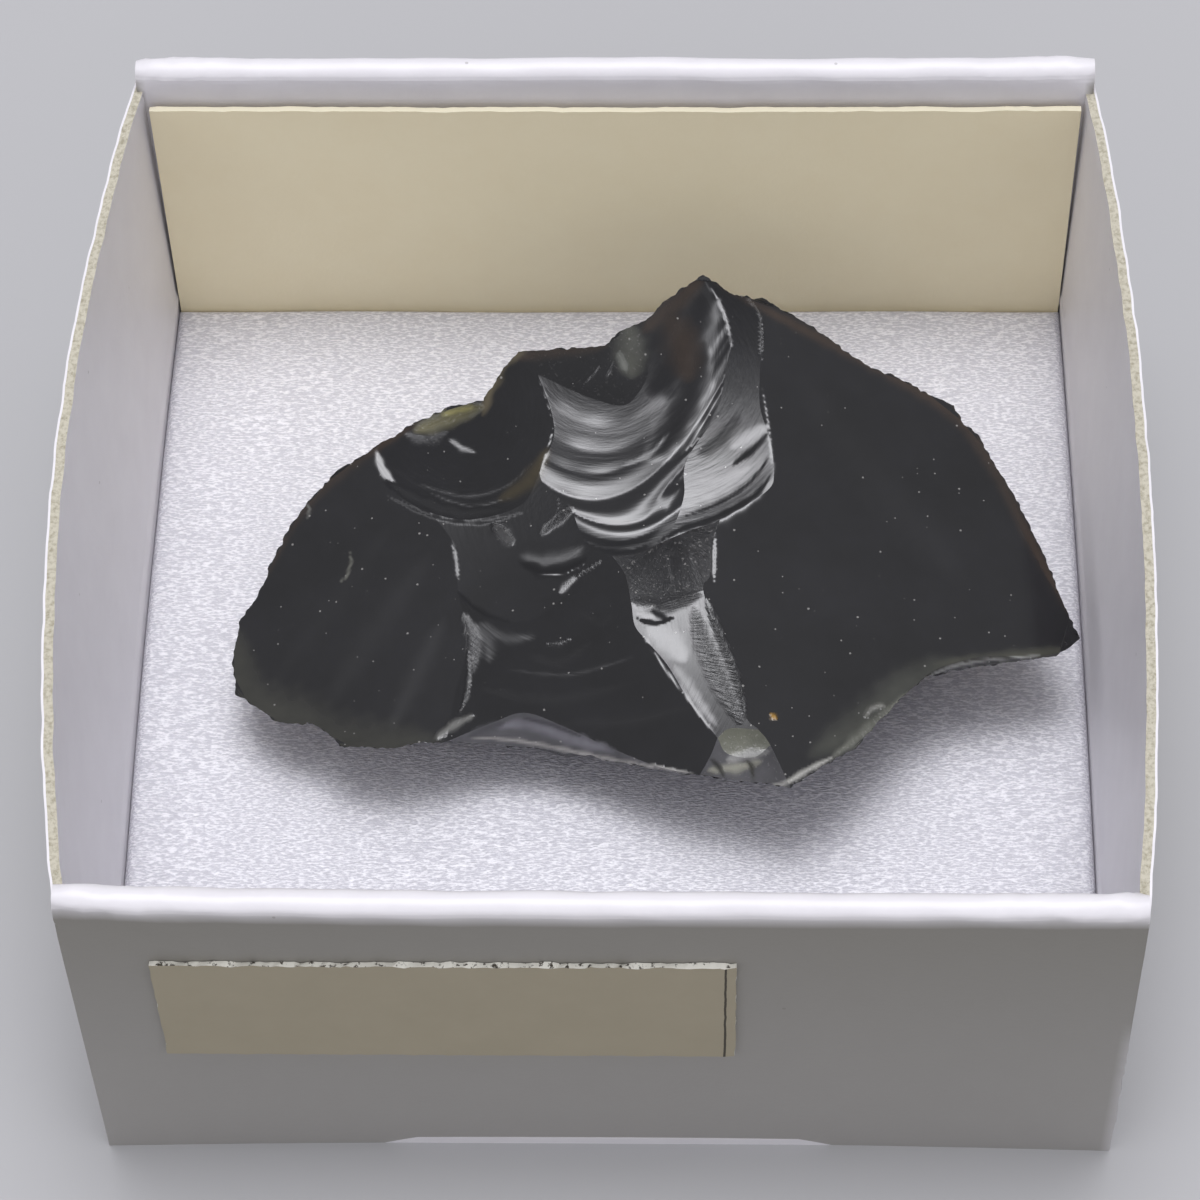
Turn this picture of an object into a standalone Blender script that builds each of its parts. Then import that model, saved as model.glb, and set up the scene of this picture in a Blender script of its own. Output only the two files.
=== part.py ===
"""A knapped obsidian chunk lying on the foam pad of a small white card collector's box.

World frame: metres, +Z up, +Y to the back of the box, origin under the middle of the whole part.
Sizes below are in millimetres and are turned into metres as the meshes are made.
"""

import math

import bmesh
import bpy
import numpy as np
from mathutils import Matrix, Vector
from mathutils.geometry import delaunay_2d_cdt

MM = 0.001
GAP = 0.3                    # left between pieces that touch

# Tray
TRAY_WIDTH = 40.0            # at its corners
TRAY_DEPTH = 41.0
TRAY_HEIGHT = 19.4           # to the top of the rolled walls
SIDE_HEIGHT = 18.3
ROLL_THICKNESS = 1.2         # front and back walls, folded double
SIDE_THICKNESS = 0.45        # side walls, single board
FLOOR_THICKNESS = 0.5
LEFT_BOW = 1.8               # how far the side walls swell outwards at their middle
RIGHT_BOW = 1.2
BOW_RISE = 1.3               # power with which the swelling grows up the wall
SIDE_STATIONS = 9
ROLL_STEPS = 6
WALL_LEVELS = (0.0, 6.0, 12.0)

# Papers and pad
STICKER_WIDTH = 21.8
STICKER_HEIGHT = 6.9
STICKER_THICKNESS = 0.25
STICKER_GAP = 0.15
STICKER_LEFT = 3.2           # from the tray's left corner to the sticker
STICKER_BOTTOM = 8.25
CARD_WIDTH = 38.2
CARD_HEIGHT = 16.9
CARD_THICKNESS = 0.25
PAD_HEIGHT = 3.7

# The tray's middle, set so that the whole part is centred on the origin
CENTRE_X = (LEFT_BOW - RIGHT_BOW) / 2
CENTRE_Y = (STICKER_THICKNESS + STICKER_GAP) / 2
LEFT = CENTRE_X - TRAY_WIDTH / 2
RIGHT = CENTRE_X + TRAY_WIDTH / 2
FRONT = CENTRE_Y - TRAY_DEPTH / 2
BACK = CENTRE_Y + TRAY_DEPTH / 2
PAD_BOTTOM = FLOOR_THICKNESS + GAP
PAD_TOP = PAD_BOTTOM + PAD_HEIGHT

# The stone's upper side is drawn as seen from one point in front of the box and above it. A drawn
# point is so many millimetres right of and above the drawing's middle, on a plane square to the view.
EYE = Vector((3.7, -96.4, 150.4))
EYE_DOWN = math.radians(55.66)
EYE_TURN = math.radians(2.29)
EYE_ROLL = math.radians(-1.75)
DRAWING_DISTANCE = 174.0
STONE_GRAIN = 1.0            # size of the triangles on the stone

APEX = (4.3, 13.55)
RIGHT_TIP = (20.0, -1.6)
FRONT_TIP = (7.95, -7.85)
LEFT_TIP = (-15.3, -2.5)

OUTLINE = (
    APEX, (5.6, 12.7), (6.0, 12.65), (6.75, 12.6), (7.9, 11.95), (9.4, 11.0), (10.6, 10.1),
    (11.4, 9.65), (12.75, 9.1), (13.95, 8.45), (14.75, 8.1), (15.1, 7.4), (15.8, 6.85),
    (16.45, 5.65), (17.1, 4.6), (17.8, 3.3), (18.45, 1.95), (19.25, 0.0), RIGHT_TIP,
    (19.0, -2.35), (17.0, -2.6), (15.4, -2.85), (13.55, -3.2), (12.75, -3.9), (11.55, -5.1),
    (10.65, -6.2), (9.3, -6.9), FRONT_TIP, (5.4, -7.45), (4.15, -7.3), (2.45, -7.1),
    (0.6, -6.75), (-2.05, -6.25), (-5.0, -6.0), (-6.4, -5.9), (-7.8, -6.0), (-8.4, -6.15),
    (-8.85, -6.2), (-9.8, -6.15), (-10.85, -6.1), (-11.25, -5.65), (-11.8, -5.25),
    (-12.2, -5.1), (-12.9, -5.15), (-13.65, -5.0), (-14.1, -4.6), (-15.2, -3.95), LEFT_TIP,
    (-15.2, -1.9), (-14.95, -0.75), (-14.45, -0.1), (-13.9, 0.9), (-13.85, 1.3), (-12.85, 3.2),
    (-11.9, 4.4), (-10.95, 5.4), (-9.2, 6.5), (-7.4, 7.55), (-6.2, 8.1), (-4.85, 8.3),
    (-4.3, 9.25), (-3.4, 10.35), (0.2, 10.6), (0.75, 11.15), (1.9, 11.65), (2.6, 12.4),
)

BOWL_FOOT = (2.55, 2.4)
SCOOP_END = (-2.5, 5.3)
NOTCH = (-3.4, 10.35)
HOLLOW_FOOT = (-0.4, 2.15)
BAND_TOP = (1.3, -0.1)
BAND_FOOT = (4.9, -5.75)
LIP_LEFT = (-6.4, -5.9)
ARC_START = (-5.9, 0.3)

RIDGES = (
    # The two edges that come down from the apex, on each side of the crescent
    (APEX, (4.9, 12.7), (5.45, 10.9), (5.3, 9.9), (4.85, 7.8), (3.6, 5.8), (3.5, 4.35), (3.1, 3.15),
     BOWL_FOOT),
    ((6.0, 12.65), (6.6, 11.9), (6.7, 10.45), (6.65, 8.2), (7.05, 6.75), (7.25, 5.3), (6.9, 4.5),
     (5.0, 3.35), (3.75, 2.9), BOWL_FOOT),
    # Left and lower edge of the deep bowl, and the dark lip at its top
    (NOTCH, (-2.6, 9.4), (-1.9, 7.1), SCOOP_END, (-2.0, 4.5), (-1.25, 3.85), (-0.85, 2.9), HOLLOW_FOOT,
     (0.5, 1.85), (1.65, 1.95), BOWL_FOOT),
    ((-2.6, 9.4), (-0.6, 8.5), (0.85, 8.1), (1.5, 8.5), (2.0, 9.5), (1.65, 10.6), (1.9, 11.65)),
    # Rim of the upper left scoop
    ((-9.2, 6.5), (-9.3, 5.75), (-8.95, 4.8), (-8.1, 4.15), (-7.1, 3.65), (-5.4, 3.35), (-3.3, 3.95),
     SCOOP_END),
    # Right edge of the left facet
    ((-7.1, 3.65), (-6.45, 2.9), (-6.05, 2.1), ARC_START, (-5.6, -1.05), (-5.6, -2.3),
     (-6.05, -3.95), LIP_LEFT),
    # Arc under the middle hollow
    (ARC_START, (-5.0, -0.5), (-3.95, -0.9), (-2.7, -0.75), (-1.65, 0.0), (-1.0, 0.85), HOLLOW_FOOT),
    # Edges round the bright band
    ((0.5, 1.85), (1.05, 1.05), BAND_TOP, (1.45, -1.05), (1.9, -1.65), (2.8, -2.7), (3.75, -4.25),
     BAND_FOOT),
    ((5.0, 3.35), (4.65, 2.3), (4.6, 1.05), (4.3, 0.4), (5.0, -1.65), (5.65, -2.9), (6.05, -4.8),
     (6.6, -5.4), (7.1, -6.05), FRONT_TIP),
    (BAND_TOP, (2.3, -0.2), (4.3, 0.4)),
    (BAND_FOOT, (5.4, -5.35), (6.6, -5.4)),
    (BAND_FOOT, (5.3, -6.4), (6.4, -6.55), (7.1, -6.05)),
    (BAND_FOOT, (4.6, -6.5), (4.15, -7.3)),
    # Top edges of the two slivers of steep front face
    (LIP_LEFT, (-4.45, -5.1), (-3.1, -4.7), (-1.45, -5.3), (0.2, -6.05), (2.3, -6.9), (4.15, -7.3)),
    ((12.75, -3.9), (14.0, -2.9), (15.95, -2.35), (17.9, -2.4), (19.25, -2.15), RIGHT_TIP),
)

# Each facet: a point inside it, its slope rightwards and backwards, and how fast each slope grows
# (per millimetre) towards the right and towards the back.
FACETS = (
    ("right", (12.0, 3.0), (-0.14, 0.0), (0.0, 0.0)),
    ("left", (-10.0, 1.0), (0.17, 0.02), (0.0, 0.0)),
    ("bowl", (1.2, 5.5), (0.03, 0.25), (0.03, 0.04)),
    ("lip", (0.5, 9.5), (0.05, 0.85), (0.05, 0.05)),
    ("crescent", (5.9, 7.0), (0.03, 0.36), (0.01, 0.03)),
    ("scoop", (-5.5, 5.5), (0.08, 0.44), (0.03, 0.02)),
    ("hollow", (-3.5, 1.5), (0.16, 0.06), (0.03, 0.05)),
    ("apron", (-1.0, -3.0), (0.28, 0.40), (0.0, 0.0)),
    ("pit", (3.0, 1.2), (0.10, 0.60), (0.05, 0.15)),
    ("band", (3.8, -2.0), (0.02, 0.30), (0.015, -0.02)),
    ("chip", (6.1, -5.95), (0.0, 0.5), (0.0, 0.2)),
    ("heel", (4.8, -7.0), (0.1, 1.2), (0.0, 0.0)),
    ("front sliver", (-1.5, -5.9), (0.1, 3.2), (0.0, 0.0)),
    ("right sliver", (16.4, -2.55), (0.0, 2.6), (0.0, 0.0)),
)
APEX_HEIGHT = 14.0

# The stone's underside, seen in plan: where it stands on the pad, and the shoulders above that
STONE_BOTTOM = PAD_TOP + GAP
FOOTPRINT = ((-6.0, -1.5), (-2.0, -3.4), (4.5, -4.0), (9.5, -1.5), (9.5, 3.5), (5.5, 7.5), (0.0, 7.5),
             (-5.0, 3.5))
SHOULDERS = ((-11.5, -1.5, 6.6), (-8.0, -5.2, 6.4), (-1.5, -5.6, 6.0), (6.0, -7.0, 6.6), (10.0, -4.5, 6.4),
             (15.0, -0.5, 6.4), (13.5, 5.5, 6.7), (9.5, 9.5, 7.0), (4.0, 11.6, 7.2), (-3.0, 9.0, 7.0),
             (-8.0, 5.6, 6.6))


def add_piece(name, bm, colour, roughness):
    """Makes the mesh an object with its own plain material."""
    mesh = bpy.data.meshes.new(name)
    bmesh.ops.recalc_face_normals(bm, faces=bm.faces)
    bm.to_mesh(mesh)
    bm.free()
    material = bpy.data.materials.new(name)
    material.use_nodes = True
    shader = material.node_tree.nodes["Principled BSDF"]
    shader.inputs["Base Color"].default_value = (*colour, 1.0)
    shader.inputs["Roughness"].default_value = roughness
    mesh.materials.append(material)
    piece = bpy.data.objects.new(name, mesh)
    bpy.context.collection.objects.link(piece)
    return piece


def add_block(name, low, high, colour, roughness):
    """A plain block between two corners given in millimetres."""
    bm = bmesh.new()
    bmesh.ops.create_cube(bm, size=1.0)
    size = Vector(high) - Vector(low)
    middle = (Vector(high) + Vector(low)) / 2
    bmesh.ops.scale(bm, vec=size * MM, verts=bm.verts)
    bmesh.ops.translate(bm, vec=middle * MM, verts=bm.verts)
    return add_piece(name, bm, colour, roughness)


def rolled_profile():
    """Rolled wall from its outer foot over the round top to its inner foot: (share inwards, height)."""
    radius = ROLL_THICKNESS / 2
    spring = TRAY_HEIGHT - radius
    outside = [(0.0, z) for z in WALL_LEVELS]
    angles = [math.pi * step / ROLL_STEPS for step in range(ROLL_STEPS + 1)]
    top = [(0.5 - 0.5 * math.cos(a), spring + radius * math.sin(a)) for a in angles]
    inside = [(1.0, z) for z in reversed(WALL_LEVELS[1:])]
    return outside + top + inside + [(1.0, FLOOR_THICKNESS)]


def board_profile():
    """Single board wall with a square cut top, in as many points as the rolled one."""
    outside = [(0.0, z) for z in WALL_LEVELS]
    top = [(step / ROLL_STEPS, SIDE_HEIGHT) for step in range(ROLL_STEPS + 1)]
    inside = [(1.0, z) for z in reversed(WALL_LEVELS[1:])]
    return outside + top + inside + [(1.0, FLOOR_THICKNESS)]


def bow(y, z, most):
    """Outward swelling of a side wall: most at mid depth and at the top, none at the corners."""
    across = 1.0 - ((y - CENTRE_Y) / (TRAY_DEPTH / 2)) ** 2
    return most * across * (z / SIDE_HEIGHT) ** BOW_RISE


def side_station(side, y):
    """One upright section through a side wall, side -1 on the left and 1 on the right."""
    outer = LEFT if side < 0 else RIGHT
    most = LEFT_BOW if side < 0 else RIGHT_BOW
    return [(outer - side * share * SIDE_THICKNESS + side * bow(y, z, most), y, z)
            for share, z in board_profile()]


def corner_station(side, end):
    """Section through a corner of the tray, where the board closes round the rolled wall's end."""
    outer_x = LEFT if side < 0 else RIGHT
    outer_y = FRONT if end < 0 else BACK
    return [(outer_x - side * share * SIDE_THICKNESS, outer_y - end * share * ROLL_THICKNESS, z)
            for share, z in board_profile()]


def roll_station(side, end):
    """Section through a rolled wall just inside the side board."""
    clear = SIDE_THICKNESS + 0.1
    x = LEFT + clear if side < 0 else RIGHT - clear
    outer_y = FRONT if end < 0 else BACK
    return [(x, outer_y - end * share * ROLL_THICKNESS, z) for share, z in rolled_profile()]


def tray():
    """The folded card tray: upright sections all the way round, skinned, with a floor."""
    inset = ROLL_THICKNESS + 0.4
    run = (BACK - FRONT - 2 * inset) / (SIDE_STATIONS - 1)
    rising = [FRONT + inset + run * step for step in range(SIDE_STATIONS)]
    stations = [corner_station(-1, -1), roll_station(-1, -1), roll_station(1, -1), corner_station(1, -1)]
    stations += [side_station(1, y) for y in rising]
    stations += [corner_station(1, 1), roll_station(1, 1), roll_station(-1, 1), corner_station(-1, 1)]
    stations += [side_station(-1, y) for y in reversed(rising)]
    bm = bmesh.new()
    rings = [[bm.verts.new(Vector(point) * MM) for point in station] for station in stations]
    for ring, following in zip(rings, rings[1:] + rings[:1]):
        for low in range(len(ring) - 1):
            bm.faces.new((ring[low], following[low], following[low + 1], ring[low + 1]))
    bm.faces.new([ring[0] for ring in rings])
    bm.faces.new([ring[-1] for ring in rings])
    bmesh.ops.triangulate(bm, faces=bm.faces)
    return add_piece("tray", bm, (0.78, 0.77, 0.78), 0.6)


def eye_axes():
    """The drawing's directions in the world: right, up and towards the eye."""
    turn = Matrix.Rotation(EYE_TURN, 3, "Z") @ Matrix.Rotation(math.pi / 2 - EYE_DOWN, 3, "X")
    turn = turn @ Matrix.Rotation(EYE_ROLL, 3, "Z")
    return np.array([turn.col[0], turn.col[1], turn.col[2]])


def on_drawing(points):
    """World places of drawn points on the drawing's plane."""
    right, up, towards = eye_axes()
    middle = np.array(EYE) - towards * DRAWING_DISTANCE
    return middle + points[:, :1] * right + points[:, 1:] * up


def raised(points, rise):
    """World places of drawn points lifted along their own lines of sight."""
    flat = on_drawing(points)
    return flat + (np.array(EYE) - flat) * (rise / DRAWING_DISTANCE)[:, None]


def rise_for(point, height):
    """How far a drawn point is lifted towards the eye to be at a height above the ground."""
    flat = on_drawing(np.array([point]))[0]
    return DRAWING_DISTANCE * (height - flat[2]) / (EYE.z - flat[2])


def smooth_run(points, grain):
    """A curve through the points (Catmull-Rom), in steps no longer than the grain."""
    points = [np.array(p) for p in points]
    ends = [2 * points[0] - points[1]] + points + [2 * points[-1] - points[-2]]
    run = [points[0]]
    for a, b, c, d in zip(ends, ends[1:], ends[2:], ends[3:]):
        steps = max(1, round(float(np.linalg.norm(c - b)) / grain))
        for step in range(1, steps + 1):
            t = step / steps
            run.append(0.5 * (2 * b + (c - a) * t + (2 * a - 5 * b + 4 * c - d) * t * t
                              + (3 * b - a - 3 * c + d) * t ** 3))
    return run


def straight_run(points, grain):
    """The closed outline with its sides cut into steps no longer than the grain."""
    run = []
    for start, end in zip(points, points[1:] + points[:1]):
        start = np.array(start)
        end = np.array(end)
        steps = max(1, round(float(np.linalg.norm(end - start)) / grain))
        run += [start + (end - start) * step / steps for step in range(steps)]
    return run


def grid_inside(low, high, grain):
    """A triangular grid of points over a rectangle."""
    rows = np.arange(low[1], high[1], grain * math.sqrt(3) / 2)
    grid = []
    for index, v in enumerate(rows):
        shift = grain / 2 if index % 2 else 0.0
        grid += [(u, v) for u in np.arange(low[0] + shift, high[0], grain)]
    return np.array(grid)


def drawn_mesh(outline, ridges, grain):
    """Triangles that fill the outline and keep every ridge: points, triangles and ridge edges."""
    rim = straight_run(outline, grain)
    points = list(rim)
    edges = []
    for ridge in ridges:
        run = smooth_run(ridge, grain)
        edges += [(len(points) + i, len(points) + i + 1) for i in range(len(run) - 1)]
        points += run
    lines = np.array(points)
    grid = grid_inside(lines.min(0), lines.max(0), grain)
    near = np.array([np.min(np.sum((lines - p) ** 2, axis=1)) for p in grid])
    points += list(grid[near > (0.6 * grain) ** 2])
    loop = list(range(len(rim)))
    found = delaunay_2d_cdt([Vector(p) for p in points], edges, [loop], 1, 1e-5)
    used, triangles = np.unique(np.array(found[2]), return_inverse=True)
    places = np.array([tuple(found[0][index]) for index in used])
    number = {old: new for new, old in enumerate(used)}
    drawn_edges = {tuple(sorted((number[a], number[b])))
                   for (a, b), source in zip(found[1], found[4])
                   if source and a in number and b in number}
    return places, triangles.reshape(-1, 3), drawn_edges


def share_out(points, triangles, drawn_edges, seeds):
    """The facet that each triangle belongs to, spread from the facets' inner points."""
    neighbours = {}
    for index, (a, b, c) in enumerate(triangles):
        for edge in ((a, b), (b, c), (c, a)):
            neighbours.setdefault(tuple(sorted(edge)), []).append(index)
    middles = points[triangles].mean(axis=1)
    owner = np.full(len(triangles), -1)
    front = []
    for number, seed in enumerate(seeds):
        start = int(np.argmin(np.sum((middles - np.array(seed)) ** 2, axis=1)))
        owner[start] = number
        front.append(start)
    for crossing in (False, True):
        if crossing:
            front = [index for index in range(len(triangles)) if owner[index] >= 0]
        while front:
            index = front.pop()
            a, b, c = triangles[index]
            for edge in ((a, b), (b, c), (c, a)):
                key = tuple(sorted(edge))
                if key in drawn_edges and not crossing:
                    continue
                for other in neighbours[key]:
                    if owner[other] < 0:
                        owner[other] = owner[index]
                        front.append(other)
    return owner, middles


def wanted_slopes(owner, middles):
    """How fast the surface rises towards the eye, rightwards and upwards in the drawing."""
    right, up, towards = eye_axes()
    slopes = np.zeros((len(owner), 2))
    for number, (_, seed, slope, growth) in enumerate(FACETS):
        mine = owner == number
        offset = middles[mine] - np.array(seed)
        rightwards = slope[0] + growth[0] * offset[:, 0]
        backwards = slope[1] + growth[1] * offset[:, 1]
        normals = np.stack([-rightwards, -backwards, np.ones(len(offset))], axis=1)
        facing = normals @ towards
        slopes[mine, 0] = -(normals @ right) / facing
        slopes[mine, 1] = -(normals @ up) / facing
    return slopes


def fitted_rise(points, triangles, slopes, held, held_rise):
    """The surface whose slopes come closest to the wanted ones, found by conjugate gradients."""
    corners = points[triangles]
    across = corners[:, [2, 0, 1]] - corners[:, [1, 2, 0]]
    turned = np.stack([-across[:, :, 1], across[:, :, 0]], axis=2)
    twice = np.cross(corners[:, 1] - corners[:, 0], corners[:, 2] - corners[:, 0])
    shape = turned / twice[:, None, None]
    area = np.abs(twice) / 2
    stiffness = np.einsum("tid,tjd,t->tij", shape, shape, area)
    count = len(points)
    pull = np.bincount(triangles.ravel(), np.einsum("tid,td,t->ti", shape, slopes, area).ravel(), count)
    hold = np.zeros(count)
    hold[held] = 100.0
    pull = pull + hold * held_rise

    def apply(rise):
        spread = np.einsum("tij,tj->ti", stiffness, rise[triangles])
        return np.bincount(triangles.ravel(), spread.ravel(), count) + hold * rise

    scale = np.bincount(triangles.ravel(), stiffness[:, range(3), range(3)].ravel(), count) + hold
    rise = np.full(count, held_rise)
    residual = pull - apply(rise)
    step = residual / scale
    energy = residual @ step
    target = 1e-16 * energy
    while energy > target:
        moved = apply(step)
        length = energy / (step @ moved)
        rise = rise + length * step
        residual = residual - length * moved
        ready = residual / scale
        following = residual @ ready
        step = ready + following / energy * step
        energy = following
    return rise


def underside(bm, rim):
    """Closes the stone below its rim: facets down to shoulders and on to a flat footprint."""
    points = [vert.co.xy / MM for vert in rim]
    loop = list(range(len(points)))
    foot = list(range(len(points), len(points) + len(FOOTPRINT)))
    points += [Vector(p) for p in FOOTPRINT]
    points += [Vector(p[:2]) for p in SHOULDERS]
    heights = [STONE_BOTTOM] * len(FOOTPRINT) + [p[2] for p in SHOULDERS]
    edges = list(zip(foot, foot[1:] + foot[:1]))
    found = delaunay_2d_cdt(points, edges, [loop], 1, 1e-5)
    verts = []
    for place, sources in zip(found[0], found[3]):
        source = sources[0]
        if source < len(rim):
            verts.append(rim[source])
        else:
            verts.append(bm.verts.new(Vector((*place, heights[source - len(rim)])) * MM))
    for a, b, c in found[2]:
        bm.faces.new((verts[a], verts[c], verts[b]))


def chunk():
    """The stone: its drawn upper side, fitted to the facets' slopes, and the underside that closes it."""
    points, triangles, drawn_edges = drawn_mesh(OUTLINE, RIDGES, STONE_GRAIN)
    owner, middles = share_out(points, triangles, drawn_edges, [facet[1] for facet in FACETS])
    slopes = wanted_slopes(owner, middles)
    apex = int(np.argmin(np.sum((points - np.array(APEX)) ** 2, axis=1)))
    rise = fitted_rise(points, triangles, slopes, apex, rise_for(APEX, APEX_HEIGHT))
    bm = bmesh.new()
    verts = [bm.verts.new(Vector(place) * MM) for place in raised(points, rise)]
    for a, b, c in triangles:
        bm.faces.new((verts[a], verts[b], verts[c]))
    start = next(edge for edge in bm.edges if edge.is_boundary).link_loops[0]
    rim = []
    loop = start
    while not rim or loop is not start:
        rim.append(loop.vert)
        loop = loop.link_loop_next
        while not loop.edge.is_boundary:
            loop = loop.link_loop_radial_next.link_loop_next
    underside(bm, rim)
    return add_piece("obsidian_chunk", bm, (0.03, 0.028, 0.032), 0.08)


def build():
    for old in list(bpy.data.objects):
        bpy.data.objects.remove(old)
    tray()
    inner_left = LEFT + SIDE_THICKNESS + GAP
    inner_right = RIGHT - SIDE_THICKNESS - GAP
    card_back = BACK - ROLL_THICKNESS - GAP
    card_front = card_back - CARD_THICKNESS
    add_block("foam_pad", (inner_left, FRONT + ROLL_THICKNESS + GAP, PAD_BOTTOM),
              (inner_right, card_front - GAP, PAD_TOP), (0.85, 0.85, 0.86), 0.5)
    card_left = (inner_left + inner_right - CARD_WIDTH) / 2
    add_block("back_card", (card_left, card_front, PAD_BOTTOM),
              (card_left + CARD_WIDTH, card_back, PAD_BOTTOM + CARD_HEIGHT), (0.62, 0.56, 0.39), 0.7)
    sticker_left = LEFT + STICKER_LEFT
    sticker_back = FRONT - STICKER_GAP
    add_block("front_sticker", (sticker_left, sticker_back - STICKER_THICKNESS, STICKER_BOTTOM),
              (sticker_left + STICKER_WIDTH, sticker_back, STICKER_BOTTOM + STICKER_HEIGHT),
              (0.62, 0.56, 0.43), 0.7)
    chunk()


build()
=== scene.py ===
"""A knapped obsidian chunk on the foam pad of its small white card collector's box."""

import math

import bpy
import numpy as np
from mathutils import Matrix, Vector, noise
from mathutils.geometry import delaunay_2d_cdt
from mathutils.kdtree import KDTree


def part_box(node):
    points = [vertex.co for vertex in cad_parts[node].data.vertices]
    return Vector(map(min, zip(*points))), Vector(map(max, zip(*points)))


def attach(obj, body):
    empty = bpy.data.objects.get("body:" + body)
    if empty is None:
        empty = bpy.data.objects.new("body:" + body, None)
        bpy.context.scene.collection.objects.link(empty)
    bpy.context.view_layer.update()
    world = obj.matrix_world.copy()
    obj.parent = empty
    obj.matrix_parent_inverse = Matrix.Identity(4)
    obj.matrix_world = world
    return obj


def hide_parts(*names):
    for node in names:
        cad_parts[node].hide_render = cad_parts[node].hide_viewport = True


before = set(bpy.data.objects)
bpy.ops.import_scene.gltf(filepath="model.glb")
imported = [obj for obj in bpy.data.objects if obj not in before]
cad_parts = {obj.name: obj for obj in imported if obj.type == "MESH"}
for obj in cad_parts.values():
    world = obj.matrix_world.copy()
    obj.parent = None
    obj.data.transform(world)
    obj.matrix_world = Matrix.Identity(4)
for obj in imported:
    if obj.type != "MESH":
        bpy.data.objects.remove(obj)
bpy.ops.object.select_all(action="DESELECT")
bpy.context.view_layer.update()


# Tray
# A small open box folded from one blank of grey board with a white clay coating. The front and back
# walls are turned over double, which leaves a soft round roll along their tops. The side walls are one
# ply, swell outwards, and show the raw core of the board along their cut tops.
MM = 0.001
TRAY_LOW, TRAY_HIGH = (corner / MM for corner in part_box("tray"))
SIDE_BOW_LEFT, SIDE_BOW_RIGHT = 1.8, 1.2
TRAY_LEFT = TRAY_LOW.x + SIDE_BOW_LEFT
TRAY_RIGHT = TRAY_HIGH.x - SIDE_BOW_RIGHT
TRAY_FRONT, TRAY_BACK = TRAY_LOW.y, TRAY_HIGH.y
TRAY_TOP = TRAY_HIGH.z
ROLL = 1.2
BOARD = 0.45
SIDE_TOP = 18.3
FLOOR_BOARD = 0.5
FRONT_SAG = 0.75
SCORE_RISE = 5.0
WORN_TOP = 11.0
CLAY_WHITE = "EBE9ED"
CLAY_SHADE = "DFDCE1"
# Painted shade: the box's outside is darkened towards this grey, and eased by this share towards the foot
OUTSIDE_PAINTED_SHADE = "86837C"
FOOT_SHADE_EASE = 0.21
DIRT = "6B665E"
BOARD_CORE = "C6C1B1"
BOARD_CORE_DARK = "A09A88"


def hex_colour(code):
    """An sRGB hex colour as linear red, green, blue and a full alpha."""
    values = [int(code[i:i + 2], 16) / 255 for i in (0, 2, 4)]
    return (*[c / 12.92 if c <= 0.04045 else ((c + 0.055) / 1.055) ** 2.4 for c in values], 1.0)


def add(material, kind, links=(), **settings):
    """One shader node: plain settings, input values by name, and links as (output, input)."""
    node = material.node_tree.nodes.new(kind)
    for name, value in settings.items():
        if hasattr(node, name):
            setattr(node, name, value)
        else:
            node.inputs[name.replace("_", " ")].default_value = value
    for output, socket in links:
        material.node_tree.links.new(output, node.inputs[socket])
    return node


def new_material(name, **settings):
    """A material with a Principled shader whose sockets hold the given values."""
    material = bpy.data.materials.new(name)
    material.use_nodes = True
    shader = material.node_tree.nodes["Principled BSDF"]
    for socket, value in settings.items():
        shader.inputs[socket.replace("_", " ")].default_value = value
    return material, shader


def block(name, low, high):
    """A block between two corners in millimetres, its place kept in its mesh."""
    middle = (Vector(low) + Vector(high)) / 2 * MM
    size = (Vector(high) - Vector(low)) * MM
    bpy.ops.mesh.primitive_cube_add(size=1.0, location=middle, scale=size)
    piece = bpy.context.object
    piece.name = name
    bpy.ops.object.transform_apply(location=True, rotation=True, scale=True)
    return piece


def cut_along(piece, axis, cuts):
    """Cuts the piece evenly across its longest edges on one axis."""
    bpy.context.view_layer.objects.active = piece
    bpy.ops.object.mode_set(mode="EDIT")
    bpy.ops.mesh.select_all(action="DESELECT")
    bpy.ops.object.mode_set(mode="OBJECT")
    mesh = piece.data
    for edge in mesh.edges:
        a, b = (mesh.vertices[i].co for i in edge.vertices)
        edge.select = abs((b - a)[axis]) > 0.9 * (b - a).length
    bpy.ops.object.mode_set(mode="EDIT")
    bpy.ops.mesh.select_mode(type="EDGE")
    bpy.ops.mesh.subdivide(number_cuts=cuts)
    bpy.ops.object.mode_set(mode="OBJECT")


def bevel_edges(piece, wanted, width, segments):
    """Bevels the edges whose two ends both pass the test, in millimetres."""
    bpy.context.view_layer.objects.active = piece
    bpy.ops.object.mode_set(mode="EDIT")
    bpy.ops.mesh.select_all(action="DESELECT")
    bpy.ops.object.mode_set(mode="OBJECT")
    mesh = piece.data
    for edge in mesh.edges:
        edge.select = all(wanted(mesh.vertices[i].co / MM) for i in edge.vertices)
    bpy.ops.object.mode_set(mode="EDIT")
    bpy.ops.mesh.select_mode(type="EDGE")
    bpy.ops.mesh.bevel(offset=width * MM, segments=segments, profile=0.5, affect="EDGES")
    bpy.ops.object.mode_set(mode="OBJECT")


def reshape(piece, move):
    """Moves every point of the piece by a rule in millimetres."""
    for vertex in piece.data.vertices:
        vertex.co = Vector(move(vertex.co / MM)) * MM


def mark_painted_shade(wall, outside):
    """Marks how much painted shade each point of the box's outside takes, by a rule in millimetres."""
    layer = wall.data.attributes.new("painted_shade", "FLOAT", "POINT")
    for vertex in wall.data.vertices:
        layer.data[vertex.index].value = outside(vertex.co / MM)


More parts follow.
